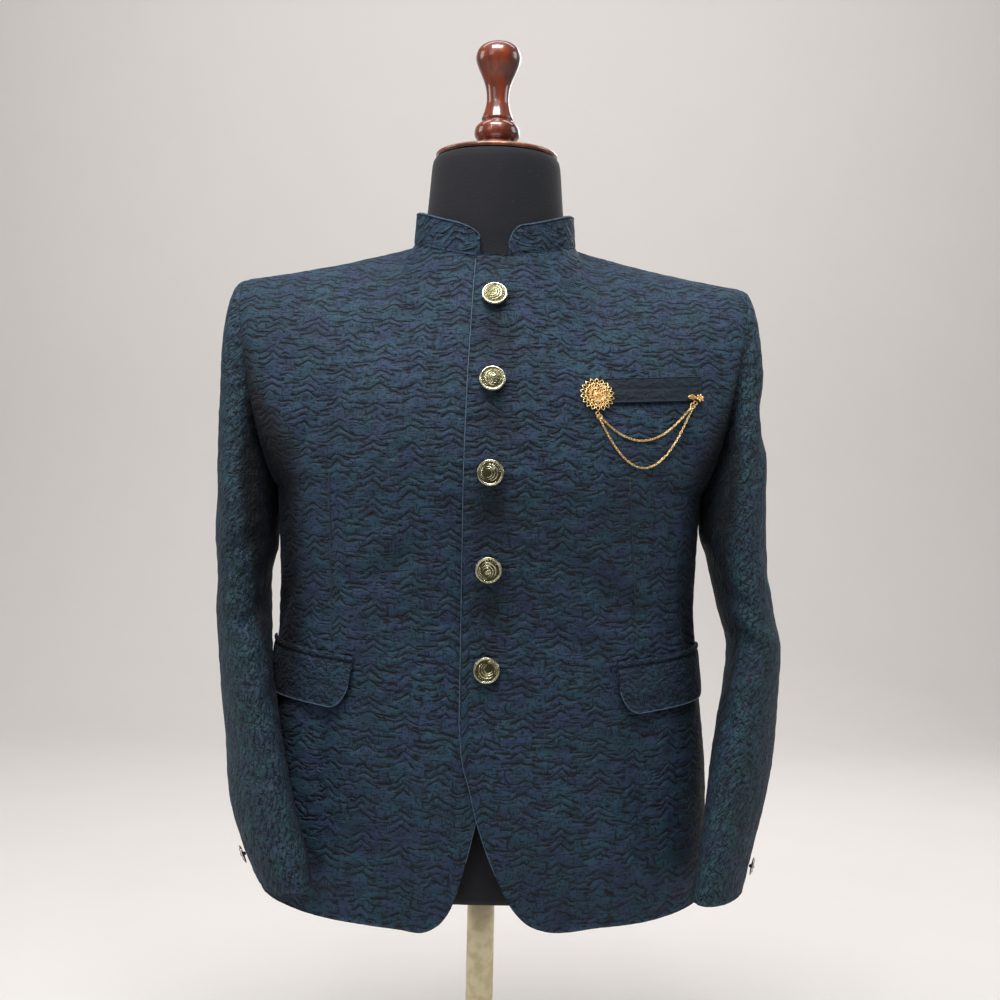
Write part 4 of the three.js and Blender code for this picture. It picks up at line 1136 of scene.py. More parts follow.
def drawn(path, radius, sides=8, closed=False):
    """A wire along a path, with tapered ends unless it is closed."""
    path = np.asarray(path, float)
    radius = np.broadcast_to(np.asarray(radius, float), (len(path),))
    if closed:
        ahead, behind = np.roll(path, -1, 0), np.roll(path, 1, 0)
    else:
        ahead = np.concatenate([path[1:], path[-1:]])
        behind = np.concatenate([path[:1], path[:-1]])
    along = unit(ahead - behind)
    side = unit(np.cross(along, [0.05, 0.03, 1]))
    top = np.cross(side, along)
    angle = np.linspace(0, 2 * np.pi, sides, endpoint=False)
    ring = side[:, None] * np.cos(angle)[:, None] + top[:, None] * np.sin(angle)[:, None]
    points = (path[:, None] + ring * radius[:, None, None]).reshape(-1, 3)
    index = np.arange(len(path) * sides).reshape(len(path), sides)
    if closed:
        index = np.concatenate([index, index[:1]])
    else:
        ends = np.array([path[0] - along[0] * radius[0] * 0.7, path[-1] + along[-1] * radius[-1] * 0.7])
        points = np.concatenate([points, ends])
        first, last = np.full((1, sides), len(points) - 2), np.full((1, sides), len(points) - 1)
        index = np.concatenate([first, index, last])
    index = np.concatenate([index, index[:, :1]], 1)
    return outward(points, grid_faces(index))


def turned_flat(points, degrees):
    c, s = np.cos(np.radians(degrees)), np.sin(np.radians(degrees))
    return points @ np.array([[c, s, 0], [-s, c, 0], [0, 0, 1]])


def bead(middle, sizes, turn=0.0, rings=6, around=10):
    """A rounded bead of three half sizes, turned in its own plane by degrees."""
    rise = np.linspace(-np.pi / 2, np.pi / 2, rings + 1)
    radius = np.cos(rise)
    radius[0] = radius[-1] = 0
    points, faces = turned(zip(radius, np.sin(rise)), around)
    return outward(turned_flat(points * sizes, turn) + middle, faces)


def ring_of(radius, count=64, wire=0.4, lift=0.0, sides=6):
    """A closed round wire that lies flat."""
    angle = round_steps(count)
    return drawn(places(radius * np.cos(angle), radius * np.sin(angle), lift), wire, sides, True)


def joined(parts):
    """Several shapes as one."""
    points, faces, count = [], [], 0
    for p, f in parts:
        points.append(p)
        faces.append(f + count)
        count += len(p)
    return np.concatenate(points), np.concatenate(faces)


def seated(points, place, normal, turn=0.0):
    """Points of a shape that faces up, moved to a place on the cloth and turned to face along its normal."""
    tilt = Vector((0, 0, 1)).rotation_difference(Vector(normal)).to_matrix()
    return turned_flat(points, turn) @ np.array(tilt).T + place


def add_fitting(name, node, parts, place, normal, materials, turn=0.0, kinds=None):
    """A hard piece made of parts and set on its place. kinds gives each part its material's number."""
    points, faces = joined(parts)
    if kinds:
        kinds = np.concatenate([np.full(len(part[1]), kind) for part, kind in zip(parts, kinds)])
    piece = add_piece(name, seated(points, place, normal, turn), faces, materials, points[:, :2], kinds)
    return settle(piece, node)


# Finishes of the fittings, the form and the stand.
def add_grain_group():
    sizes = {"Stretch": 7.0, "Fineness": 60.0}
    tree, given, made = new_group("wood grain", "Place", sizes, ["Grain", "Figure"])
    thin = calc(tree, "DIVIDE", 1.0, given["Stretch"])
    scale = put(tree, "ShaderNodeCombineXYZ", {0: 1.0, 1: 1.0, 2: thin}).outputs[0]
    along = put(tree, "ShaderNodeVectorMath", {0: given["Place"], 1: scale}, operation="MULTIPLY").outputs[0]
    fine = noise(tree, along, given["Fineness"], 5.0)
    broad = noise(tree, along, calc(tree, "DIVIDE", given["Fineness"], 5.0), 3.0)
    tree.links.new(slope(tree, fine, 0.35, 0.65), made["Grain"])
    tree.links.new(slope(tree, broad, 0.3, 0.7), made["Figure"])
    return tree


def add_age_group():
    """Dull film in random patches with brighter metal between, and a fine grain, for cast and plated metal.
    """
    tree, given, made = new_group("metal age", "Place", {"Size": 400.0}, ["Film", "Fine"])
    film = slope(tree, noise(tree, given["Place"], given["Size"], 4.0), 0.42, 0.66)
    fine = noise(tree, given["Place"], calc(tree, "MULTIPLY", given["Size"], 4.0), 2.0)
    tree.links.new(film, made["Film"])
    tree.links.new(fine, made["Fine"])
    return tree


GRAIN = add_grain_group()
AGE = add_age_group()


def aged_metal(name, bright, film, roughness, film_roughness, size=400.0, bump=0.0001, metallic=1.0):
    material, tree, shader = new_material(name, Metallic=metallic)
    inputs = {"Place": object_place(tree), "Size": size}
    age = put(tree, "ShaderNodeGroup", inputs, node_tree=AGE).outputs
    base = blend(tree, age["Film"], colour(*bright), colour(*film))
    tree.links.new(base, shader.inputs["Base Color"])
    tree.links.new(slope(tree, age["Film"], 0, 1, roughness, film_roughness), shader.inputs["Roughness"])
    raise_by(tree, shader, age["Fine"], bump)
    return material


def varnished_wood(name, dark, light):
    material, tree, shader = new_material(name, Coat_Weight=1.0, Coat_Roughness=0.06, Coat_IOR=1.55)
    inputs = {"Place": object_place(tree), "Stretch": 8.0, "Fineness": 170.0}
    wood = put(tree, "ShaderNodeGroup", inputs, node_tree=GRAIN).outputs
    base = blend(tree, wood["Figure"], colour(*dark), colour(*light))
    streak = slope(tree, wood["Grain"], 0, 1, 0.0, 0.55)
    tree.links.new(blend(tree, streak, base, colour(*dark)), shader.inputs["Base Color"])
    tree.links.new(slope(tree, wood["Grain"], 0, 1, 0.3, 0.42), shader.inputs["Roughness"])
    raise_by(tree, shader, wood["Grain"], 0.0001)
    return material


def form_cover(name):
    """Charcoal jersey pulled over the form: a fine knit with lint and a faint bloom."""
    material, tree, shader = new_material(
        name, 0.78, Sheen_Weight=0.07, Sheen_Roughness=0.5, Specular_IOR_Level=0.22
    )
    where = object_place(tree)
    patch = slope(tree, noise(tree, where, 7.0, 3.0), 0.35, 0.65)
    lint = slope(tree, noise(tree, where, 260.0, 2.0), 0.66, 0.74, 0.0, 0.35)
    base = blend(tree, patch, colour(23, 24, 29), colour(31, 31, 35))
    tree.links.new(blend(tree, lint, base, colour(58, 58, 63)), shader.inputs["Base Color"])
    knit = noise(tree, where, 520.0, 1.0)
    grain = calc(tree, "MULTIPLY_ADD", noise(tree, where, 1300.0, 1.0), 0.6, knit)
    raise_by(tree, shader, grain, 0.0003)
    return material


BRONZE = aged_metal("button metal", (214, 210, 182), (150, 144, 104), 0.2, 0.36, 500.0)
PATINA = aged_metal("green patina", (92, 86, 58), (40, 46, 28), 0.26, 0.46, 600.0, 0.0002, 0.85)
STEEL = aged_metal("cuff button metal", (205, 203, 196), (120, 116, 104), 0.14, 0.34, 500.0)
GOLD = aged_metal("gold", (255, 222, 160), (236, 184, 108), 0.3, 0.42, 350.0)
WOOD = varnished_wood("finial wood", (52, 14, 7), (140, 56, 20))
CAP_WOOD = varnished_wood("cap wood", (92, 40, 18), (168, 104, 54))
FORM_CLOTH = form_cover("form jersey")
POLE_METAL = aged_metal("pole metal", (224, 212, 176), (210, 195, 152), 0.32, 0.42, 90.0, 0.00005, 0.55)
BASE_PAINT = aged_metal("base paint", (44, 44, 47), (34, 34, 36), 0.42, 0.6, 60.0, 0.0002, 0.2)


def thread_material(name, dark, light):
    material, tree, shader = new_material(name, 0.7, Sheen_Weight=0.2)
    twist = slope(tree, noise(tree, object_place(tree), 1500.0, 1.0), 0.35, 0.65)
    tree.links.new(blend(tree, twist, colour(*dark), colour(*light)), shader.inputs["Base Color"])
    return material


THREAD = thread_material("sewing thread", (22, 36, 54), (58, 84, 110))
# Edge cord: a cord of edge stitching whose lighter colour is a painted highlight for the light the rolled
# edges catch.
EDGE_CORD_HIGHLIGHT = thread_material("edge cord highlight", (38, 60, 78), (68, 96, 116))
SEAM_THREAD = thread_material("seam thread", (6, 11, 17), (14, 22, 32))


def add_line(name, path, radius, material):
    """A thin roll or sunk thread that shows along a sewn edge or seam."""
    settle(add_piece(name, *drawn(path, radius, 6), [material]))


# Buttons and their holes.
BUTTON_PROFILE = [
    (0, 0), (3.5, 0), (3.5, 2.0), (7.5, 2.15), (10.6, 2.45), (12.0, 3.0), (12.5, 3.8), (12.35, 4.5),
    (11.8, 5.0), (11.1, 5.1), (10.55, 4.85), (10.2, 4.55), (9.0, 4.75), (7.0, 5.15), (5.0, 5.5), (3.0, 5.75),
    (1.2, 5.85), (0, 5.88),
]
BUTTON_SEGMENTS = 56
BUTTON_HOLLOW_ROW = 11
BUTTON_DOME = ([0, 3, 5, 7, 9, 10.2], [5.88, 5.75, 5.5, 5.15, 4.75, 4.55])
BUTTON_TURNS = [150, 0, 172, 205, 24]
BUTTON_FLOWER = (-1.6, -4.3)
# Crescents on the dome: middle, radius, first and last angle, and thickness.
BUTTON_CRESCENTS = [
    (1.3, 0.3, 7.9, 108, 288, 0.8),
    (1.9, 0.6, 5.9, 96, 300, 0.65),
    (2.3, 0.8, 4.1, 84, 310, 0.5),
    (0.4, -0.2, 9.0, -48, 62, 0.45),
]
CUFF_BUTTON_PROFILE = [
    (0, 0), (1.6, 0), (1.6, 1.6), (3.0, 1.75), (6.6, 1.9), (8.4, 2.3), (9.0, 2.9), (8.6, 3.5), (7.8, 3.75),
    (7.2, 3.5), (5.8, 4.0), (3.6, 4.35), (1.5, 4.48), (0, 4.5),
]
CUFF_BUTTON_RISE = 22
CUFF_BUTTON_TURN = -22.0


def on_dome(x, y, lift=0.0):
    radius = np.hypot(x, y)
    return places(x, y, np.interp(radius, *BUTTON_DOME) + lift)


def crescent(middle_x, middle_y, radius, start, end, thick):
    angle = np.radians(np.linspace(start, end, 26))
    path = on_dome(middle_x + radius * np.cos(angle), middle_y + radius * np.sin(angle), 0.05)
    return drawn(path, 0.12 + thick * np.sin(np.linspace(0, np.pi, 26)), 8)


def dome_beads(start, step, count, radius, sizes):
    """Small beads in an arc on the button's dome."""
    turns = [start + k * step for k in range(count)]
    arc = [(radius * np.cos(np.radians(a)), radius * np.sin(np.radians(a)), a) for a in turns]
    return [bead(on_dome(x, y, 0.1), sizes, a) for x, y, a in arc]


def button_parts(with_pearl):
    """The button's parts and, for each, whether it is metal, 0, or the green hollow, 1."""
    points, faces = turned(BUTTON_PROFILE, BUTTON_SEGMENTS)
    hollow = np.repeat(np.arange(len(BUTTON_PROFILE) - 1), BUTTON_SEGMENTS) >= BUTTON_HOLLOW_ROW
    parts = [(points, faces[~hollow]), (points, faces[hollow])]
    parts += [crescent(*values) for values in BUTTON_CRESCENTS]
    x, y = BUTTON_FLOWER
    for turn in range(0, 360, 40):
        petal = on_dome(x + 1.7 * np.cos(np.radians(turn)), y + 1.7 * np.sin(np.radians(turn)), 0.1)
        parts.append(bead(petal, (0.95, 0.4, 0.34), turn))
    parts.append(bead(on_dome(x, y, 0.2), (0.6, 0.6, 0.45)))
    if with_pearl:
        parts.append(bead(on_dome(1.2, 1.5, -0.1), (3.0, 2.2, 1.0), 10, 8, 20))
    parts += dome_beads(-40, 9.5, 11, 8.0, (0.75, 0.3, 0.3))
    parts += dome_beads(196, 13, 6, 8.9, (0.8, 0.33, 0.3))
    return parts, [0, 1] + [0] * (len(parts) - 2)


def add_front_buttons():
    for number, (z, turn) in enumerate(zip(BUTTON_HEIGHTS, BUTTON_TURNS), 1):
        place, normal = on_front(1.5, z, OVERLAP_LIFT + SEAM_GAP)
        parts, kinds = button_parts(number % 2 == 0)
        node, finishes = f"front_button_{number}", [BRONZE, PATINA]
        name = f"coat_button_{number}"
        piece = add_fitting(name, node, parts, place, normal, finishes, turn, kinds)
        mend(piece, 0.000005)
        add_buttonhole(number, z)


def mend(piece, within, ends=()):
    """Closes the given ends and the seams between points that lie together."""
    bm = bmesh.new()
    bm.from_mesh(piece.data)
    bm.verts.ensure_lookup_table()
    for end in ends:
        bm.faces.new([bm.verts[int(k)] for k in end])
    bmesh.ops.remove_doubles(bm, verts=bm.verts, dist=within)
    if ends:
        bmesh.ops.recalc_face_normals(bm, faces=bm.faces)
    bm.to_mesh(piece.data)
    bm.free()


def new_geometry_tree(name, geometry, numbers):
    """A Geometry Nodes tree with a geometry input and named numbers."""
    tree = bpy.data.node_groups.new(name, "GeometryNodeTree")
    tree.interface.new_socket(geometry, in_out="INPUT", socket_type="NodeSocketGeometry")
    for label, value in numbers.items():
        kind = "NodeSocketInt" if isinstance(value, int) else "NodeSocketFloat"
        tree.interface.new_socket(label, in_out="INPUT", socket_type=kind).default_value = value
    tree.interface.new_socket("Made", in_out="OUTPUT", socket_type="NodeSocketGeometry")
    return tree, tree.nodes.new("NodeGroupInput").outputs


def even_points(tree, given, axis):
    """Evenly spaced points on the path, and the turn that lays an axis along it."""
    curve = put(tree, "GeometryNodeMeshToCurve", {"Mesh": given["Path"]}).outputs[0]
    spacing = {"Curve": curve, "Length": given["Spacing"]}
    even = put(tree, "GeometryNodeResampleCurve", spacing, mode="LENGTH").outputs[0]
    tangent = put(tree, "GeometryNodeInputTangent").outputs[0]
    turn = put(tree, "FunctionNodeAlignRotationToVector", {"Vector": tangent}, axis=axis).outputs[0]
    return even, turn


def finish_tree(tree, points, shape, turn, material, **more):
    """The end of a tree: copies of the shape on the points, as one smooth mesh with its material."""
    inputs = {"Points": points, "Instance": shape, "Rotation": turn, **more}
    laid = put(tree, "GeometryNodeInstanceOnPoints", inputs).outputs[0]
    real = put(tree, "GeometryNodeRealizeInstances", {"Geometry": laid}).outputs[0]
    smooth = put(tree, "GeometryNodeSetShadeSmooth", {"Geometry": real}).outputs[0]
    finished = put(tree, "GeometryNodeSetMaterial", {"Geometry": smooth, "Material": material}).outputs[0]
    put(tree, "NodeGroupOutput", {"Made": finished})
    return tree


def vector_of(tree, x, y=0.0, z=0.0):
    return put(tree, "ShaderNodeCombineXYZ", {0: x, 1: y, 2: z}).outputs[0]


def stitches_tree():
    """Short thread stitches laid across a path."""
    sizes = {"Spacing": 0.0006, "Stitch Length": 0.0022, "Stitch Width": 0.0005, "Seed": 3}
    tree, given = new_geometry_tree("stitches across a path", "Path", sizes)
    even, turn = even_points(tree, given, "Y")
    uneven = {0: vector_of(tree, 0.8, 0.8, 0.8), 1: vector_of(tree, 1.15, 1.1, 1.0), "Seed": given["Seed"]}
    scale = put(tree, "FunctionNodeRandomValue", uneven, data_type="FLOAT_VECTOR").outputs[0]
    ball = put(tree, "GeometryNodeMeshUVSphere", {"Segments": 6, "Rings": 4, "Radius": 0.5}).outputs["Mesh"]
    size = vector_of(tree, given["Stitch Length"], given["Stitch Width"], given["Stitch Width"])
    stitch = put(tree, "GeometryNodeTransform", {"Geometry": ball, "Scale": size}).outputs[0]
    return finish_tree(tree, even, stitch, turn, THREAD, Scale=scale)


def evaluated(piece):
    """The plain mesh that a piece's modifier makes."""
    bpy.context.view_layer.update()
    return bpy.data.meshes.new_from_object(piece.evaluated_get(bpy.context.evaluated_depsgraph_get()))


def grown(name, path, tree, closed=False):
    """A piece that a Geometry Nodes tree grows along a path in mm."""
    count = len(path)
    edges = [(k, k + 1) for k in range(count - 1)] + ([(count - 1, 0)] if closed else [])
    mesh = bpy.data.meshes.new(name)
    mesh.from_pydata((np.asarray(path) * MM).tolist(), edges, [])
    piece = new_object(name, mesh)
    piece.modifiers.new("grow", "NODES").node_group = tree
    made = evaluated(piece)
    piece.modifiers.clear()
    made.name = name
    piece.data = made
    return piece


def add_buttonhole(number, z):
    """A worked hole with two threads left loose at its end."""
    angle = round_steps(60)
    x = 12.5 + 9.5 * np.sign(np.cos(angle)) * np.abs(np.cos(angle)) ** 0.6
    path, _ = on_front(x, z + 0.9 * np.sin(angle), OVERLAP_LIFT + 0.35)
    settle(grown(f"buttonhole_{number}", path, BUTTONHOLE_STITCHES, True))
    parts = []
    for k in range(2):
        t = np.linspace(0, 1, 14)
        bend = np.sin(number * 2.1 + k * 1.7)
        x = 21.5 + (8 - 2 * k) * t
        up = z + (1.5 * bend + 1.2) * t + (1.8 - 3.6 * k) * np.sin(np.pi * t + number)
        lift = OVERLAP_LIFT + 0.7 + 1.4 * np.sin(np.pi * t) + 0.3 * k
        parts.append(drawn(on_front(x, up, lift)[0], 0.22, 5))
    settle(add_piece(f"loose_threads_{number}", *joined(parts), [THREAD]))


def add_cuff_buttons():
    parts = [turned(CUFF_BUTTON_PROFILE, 40)]
    for turn in range(0, 360, 36):
        angle = np.radians(turn)
        parts.append(bead((5.0 * np.cos(angle), 5.0 * np.sin(angle), 4.15), (1.5, 0.55, 0.4), turn))
    parts.append(bead((0, 0, 4.5), (1.8, 1.8, 0.8), 0, 6, 16))
    for name, sleeve in SLEEVES.items():
        top, cuff = sleeve["z"][0], sleeve["z"][-1]
        along = np.array(mix(SLEEVE_HEAD_SHARE, 1, (top - (cuff + CUFF_BUTTON_RISE)) / (top - cuff)))
        turn = np.array(CUFF_BUTTON_TURN)
        normal = sleeve_normal(sleeve, turn, along)
        place = sleeve_place(sleeve, turn, along) + normal * SEAM_GAP
        mirror = np.array([sleeve["side"], 1, 1])
        piece, node = f"{name}_cuff_button", f"cuff_button_{name}"
        add_fitting(piece, node, parts, place * mirror, normal * mirror, [STEEL])


# The gold ornament on the breast pocket.
BROOCH_PLACE = (100, 780, 17)
LEAF_PLACE = (197, 782, 11)
BROOCH_PLATE = [(0, 0.5), (3.3, 0.5), (3.6, 0.9), (3.2, 1.5), (1.8, 2.1), (0, 2.3)]
ON_WELT = LAID_GAP + BREAST_WELT_WALL + SEAM_GAP


def ring_tree():
    """Copies of one shape round a ring, each facing away from the middle."""
    tree, given = new_geometry_tree("ring of copies", "Shape", {"Copies": 18, "Ring Radius": 0.01})
    size = {"Vertices": given["Copies"], "Radius": given["Ring Radius"]}
    circle = put(tree, "GeometryNodeMeshCircle", size).outputs[0]
    place = put(tree, "GeometryNodeInputPosition").outputs[0]
    turn = put(tree, "FunctionNodeAlignRotationToVector", {"Vector": place}, axis="X").outputs[0]
    return finish_tree(tree, circle, given["Shape"], turn, GOLD)


def ringed(tree, shape, copies, radius):
    """Points and faces of copies of a shape round a ring, from the Geometry Nodes tree."""
    piece = add_piece("one of a ring", *shape, [GOLD])
    modifier = piece.modifiers.new("ring", "NODES")
    modifier.node_group = tree
    keys = {i.name: i.identifier for i in tree.interface.items_tree if i.in_out == "INPUT"}
    modifier[keys["Copies"]] = copies
    modifier[keys["Ring Radius"]] = radius * MM
    piece.update_tag()
    made = evaluated(piece)
    points = np.array([v.co for v in made.vertices]) / MM
    faces = np.array([(list(p.vertices) + [p.vertices[0]])[:4] for p in made.polygons])
    bpy.data.objects.remove(piece)
    bpy.data.meshes.remove(made)
    return points, faces


def petal_loop(length, width, wire, point=1.0):
    """A pointed loop of wire that lies along +X from the ring."""
    t = np.linspace(0, 1, 22, endpoint=False)
    x = length * (1 - np.abs(2 * t - 1) ** point)
    y = width / 2 * np.sin(2 * np.pi * t) * (0.35 + 0.65 * np.sin(np.pi * (x / length) ** 0.8) ** 0.6)
    return drawn(places(x, y, 1.2 + 0.5 * np.sin(np.pi * x / length)), wire, 6, True)


def add_brooch():
    x, z, radius = BROOCH_PLACE
    tree = ring_tree()
    dot, seed = (0.6, 0.6, 0.5), (1.3, 0.55, 0.5)
    rings = [
        (petal_loop(5.4, 3.6, 0.42), 18, radius - 5.6),
        (petal_loop(3.6, 2.6, 0.36), 18, radius - 8.2),
        (bead((0, 0, 1.9), (0.62, 0.62, 0.5)), 36, radius - 5.7),
        (bead((0, 0, 2.3), seed), 18, radius - 8.4),
        (petal_loop(3.4, 2.2, 0.36), 12, 3.6),
        (bead((0, 0, 3.0), dot), 16, 6.0),
        (bead((0, 0, 3.2), (0.95, 0.5, 0.5)), 9, 2.6),
        (petal_loop(3.0, 2.4, 0.34), 14, 5.6),
    ]
    parts = [ringed(tree, *ring) for ring in rings]
    for ring, wire in ((radius - 5.7, 0.4), (radius - 8.9, 0.4), (6.9, 0.35), (3.9, 0.35)):
        parts.append(ring_of(ring, 64, wire, 1.2 + 0.9 * (1 - ring / radius)))
    parts.append(bead((0, 0, 3.0), (1.5, 1.5, 1.2), 0, 8, 18))
    parts.append(turned(BROOCH_PLATE, 40))
    place, normal = on_front(x, z, ON_WELT + 0.2)
    add_fitting("sunburst_brooch", "brooch", parts, place, normal, [GOLD])
    add_jump_rings("brooch_rings", x, z - radius, x + 3.5)


def add_jump_rings(name, x, z, chain_x):
    parts = []
    for middle_x, middle_z, ring in ((x + 0.5, z - 0.6, 1.7), (chain_x - 1.2, z - 3.6, 2.4)):
        angle = round_steps(30)
        path, _ = on_front(middle_x + ring * np.cos(angle), middle_z + ring * np.sin(angle), ON_WELT + 0.5)
        parts.append(drawn(path, 0.4, 8, True))
    settle(add_piece(name, *joined(parts), [GOLD]))


def add_leaf_pin():
    x, z, width = LEAF_PLACE
    t = np.linspace(0, 1, 15)
    bow = np.sin(np.pi * t)
    parts = [drawn(places(-8.3 + 9 * t, side * 2.0 * bow, 0.9 + 0.5 * bow), 0.5, 7) for side in (-1, 1)]
    parts.append(drawn(places(-8.3 + 10 * t, 0 * t, 1.1 + 0.4 * bow), 0.55, 7))
    parts.append(bead((-3.4, 0, 0.7), (4.3, 1.7, 0.6), 0, 6, 16))
    for turn in range(20, 380, 60):
        angle = np.radians(turn)
        middle = (4.3 + 2.6 * np.cos(angle), 2.3 * np.sin(angle) * 1.1, 1.3)
        parts.append(bead(middle, (1.75, 1.15, 0.8), turn, 6, 12))
    parts.append(bead((4.3, 0, 1.9), (1.15, 1.15, 0.9), 0, 6, 14))
    place, normal = on_front(x, z, ON_WELT + 0.1)
    add_fitting("leaf_flower_pin", "leaf_pin", parts, place, normal, [GOLD], 12.0)
    add_jump_rings("leaf_pin_rings", x - 1, z - width / 2 + 1, x - 2.0)


def chain_tree():
    """Oval links along a path, each turned a quarter from the one before it."""
    sizes = {"Spacing": 0.0027, "Link Radius": 0.00095, "Wire Radius": 0.00033}
    tree, given = new_geometry_tree("chain links", "Path", sizes)
    even, along = even_points(tree, given, "X")
    odd = calc(tree, "MODULO", put(tree, "GeometryNodeInputIndex").outputs[0], 2.0)
    quarter = calc(tree, "MULTIPLY_ADD", odd, float(np.pi / 2), 0.75)
    spin = put(tree, "FunctionNodeEulerToRotation", {"Euler": vector_of(tree, quarter)}).outputs[0]
    turns = {"Rotation": along, "Rotate By": spin}
    turn = put(tree, "FunctionNodeRotateRotation", turns, rotation_space="LOCAL").outputs[0]

    def circle(resolution, radius):
        inputs = {"Resolution": resolution, "Radius": given[radius]}
        return put(tree, "GeometryNodeCurvePrimitiveCircle", inputs).outputs[0]

    drawn_ring = {"Curve": circle(12, "Link Radius"), "Profile Curve": circle(6, "Wire Radius")}
    link = put(tree, "GeometryNodeCurveToMesh", drawn_ring).outputs[0]
    oval = put(tree, "GeometryNodeTransform", {"Geometry": link, "Scale": (1.8, 1.0, 1.0)}).outputs[0]
    return finish_tree(tree, even, oval, turn, GOLD)


def add_chains():
    links = chain_tree()
    for name, sag, start, end in (("upper", 27, 104, 192), ("lower", 53, 102.5, 194)):
        t = np.linspace(0, 1, 60)
        z = mix(760, 772.5, t) - sag * 4 * t * (1 - t)
        path, _ = on_front(mix(start, end, t), z, SEAM_GAP + 1.2 + ease(760, 774, z) * 2.6)
        settle(grown(f"{name}_chain", path, links), f"brooch_chain_{name}")


# The form, its turned wood and the stand.
FORM_NECK_Y = 8.5
FORM_FOOT_Z = 295
FORM_TOP_Z = 1033
FORM_NARROWING = 0.93
FORM_NECK_STEPS = 40
FORM_SHOULDER_STEPS = 16
FORM_CAP_STEPS = 5
FORM_GAP = ([280, 420, 560, 690], [12, 12, 13, 9])
# Rings of the neck: height, half width and half depth.
FORM_NECK = [
    (943.5, 75, 64), (951, 73.2, 63.4), (960, 71.8, 62.9), (975, 70.3, 62.4), (990, 69, 62),
    (1004, 67.9, 61.4), (1016, 67.0, 60.9), (1023, 66.3, 60.3), (1028, 65.2, 59.2), (1031.5, 63.0, 57.2),
    (FORM_TOP_Z, 59.5, 53.8), (FORM_TOP_Z + 0.2, 1, 1),
]
FINIAL_PROFILE = [
    (0, 0), (12, 0), (23.2, 0.1), (24.3, 1.6), (24.5, 4), (24.0, 7), (22.2, 9.4), (19.0, 10.6), (18.6, 11.6),
    (20.8, 13.6), (23.0, 17), (23.6, 21), (22.6, 26), (19.4, 30), (16.4, 31.8), (15.7, 33.2), (16.6, 35.2),
    (15.4, 39), (13.4, 45), (11.9, 52), (11.6, 58), (12.6, 67), (15.3, 76), (18.8, 84), (21.8, 91),
    (23.4, 97), (23.0, 102.5), (20.8, 107.5), (16.4, 111.8), (10.4, 114.5), (5, 115.4), (0, 115.5),
]
CAP_HEIGHT = 5
CAP_PROFILE = [
    (0, 0), (0.5, 0), (0.93, 0), (0.975, 0.5), (0.998, 1.4), (1, 2.5), (0.99, 3.6), (0.96, 4.6), (0.9, 5),
    (0.5, 5), (0, CAP_HEIGHT),
]
BASE_HEIGHT = 34
BASE_PROFILE = [
    (0, 0), (75, 0), (146, 0), (149, 0.8), (150, 3), (150, 7), (148.5, 9.6), (144, 11.4), (120, 13),
    (80, 14.6), (44, 15.8), (32, 17), (27, 20), (25, 26), (24, 32), (22.5, 34), (18, 34), (0, BASE_HEIGHT),
]


def form_place(face, wanted, height):
    rise = np.maximum(0, height - UNDERARM)
    around = wanted * mix(1, FORM_NARROWING, ease(0, 0.3, rise))
    low = in_table(*FORM_GAP, np.minimum(height, UNDERARM))
    high = mix(8, 1.4, ease(NECK_SHARE * 0.7, NECK_SHARE, np.abs(around)))
    gap = mix(low, high, ease(0, 0.92, rise))
    return body_place(face, around, height) - body_normal(face, around, height) * (WALL + gap)[..., None]


def form_rings():
    """Closed rings of the torso, from its foot to the shoulders: front, right side, back, left side."""
    share = NECK_SHARE / FORM_NARROWING
    neck = np.linspace(-share, share, FORM_NECK_STEPS + 1)
    shoulder = np.linspace(share, 1, FORM_SHOULDER_STEPS + 1)[1:]
    around = np.concatenate([-shoulder[::-1], neck, shoulder])
    below = np.linspace(FORM_FOOT_Z + 6, UNDERARM, 34)
    heights = np.concatenate([below, UNDERARM + np.linspace(0, 1, 30)[1:]])
    t = np.linspace(0, 1, FORM_CAP_STEPS + 2)[1:-1][:, None]
    rings = []
    for height in heights:
        level = np.full(around.shape, height)
        front, back = form_place("front", around, level), form_place("back", around[::-1], level)
        swell = 0 if height <= UNDERARM else max(0, 9 * np.sin(np.pi * np.sqrt(height - UNDERARM)))
        bulge = places(swell, 0, 0) * np.sin(np.pi * t)
        right, left = mix(front[-1], back[0], t) + bulge, mix(back[-1], front[0], t) - bulge
        rings.append(np.concatenate([front, right, back, left]))
    foot = rings[0] * [0.975, 0.96, 1]
    foot[:, 2] = FORM_FOOT_Z
    middle = foot.mean(0)
    return [middle + (foot - middle) * 0.02, foot * [0.985, 0.985, 1], foot, *rings]


def add_form():
    rings = form_rings()
    count = len(rings[0])
    index = np.arange(len(rings) * count).reshape(len(rings), count)
    last = FORM_SHOULDER_STEPS + FORM_NECK_STEPS
    back_first = last + FORM_SHOULDER_STEPS + 1 + FORM_CAP_STEPS + FORM_SHOULDER_STEPS
    front_loop = np.arange(FORM_SHOULDER_STEPS, last + 1)
    loop = np.concatenate([front_loop, np.arange(back_first + 1, back_first + FORM_NECK_STEPS)])
    top = rings[-1][loop]
    angle = np.arctan2((top[:, 1] - FORM_NECK_Y) / NECK_DEPTH["front"], top[:, 0] / NECK_HALF_WIDTH)
    neck = [top]
    for z, half_width, half_depth in FORM_NECK:
        neck.append(places(half_width * np.cos(angle), FORM_NECK_Y + half_depth * np.sin(angle), z))
    grid = np.arange(len(neck) * len(loop)).reshape(len(neck), len(loop)) + index.size
    faces = [grid_faces(np.concatenate([k, k[:, :1]], 1)) for k in (index, grid)]
    form = add_piece("dress_form", np.concatenate(rings + neck), np.concatenate(faces), [FORM_CLOTH])
    mend(form, 0.00005, [index[0], grid[-1]])
    settle(form, "form_body")


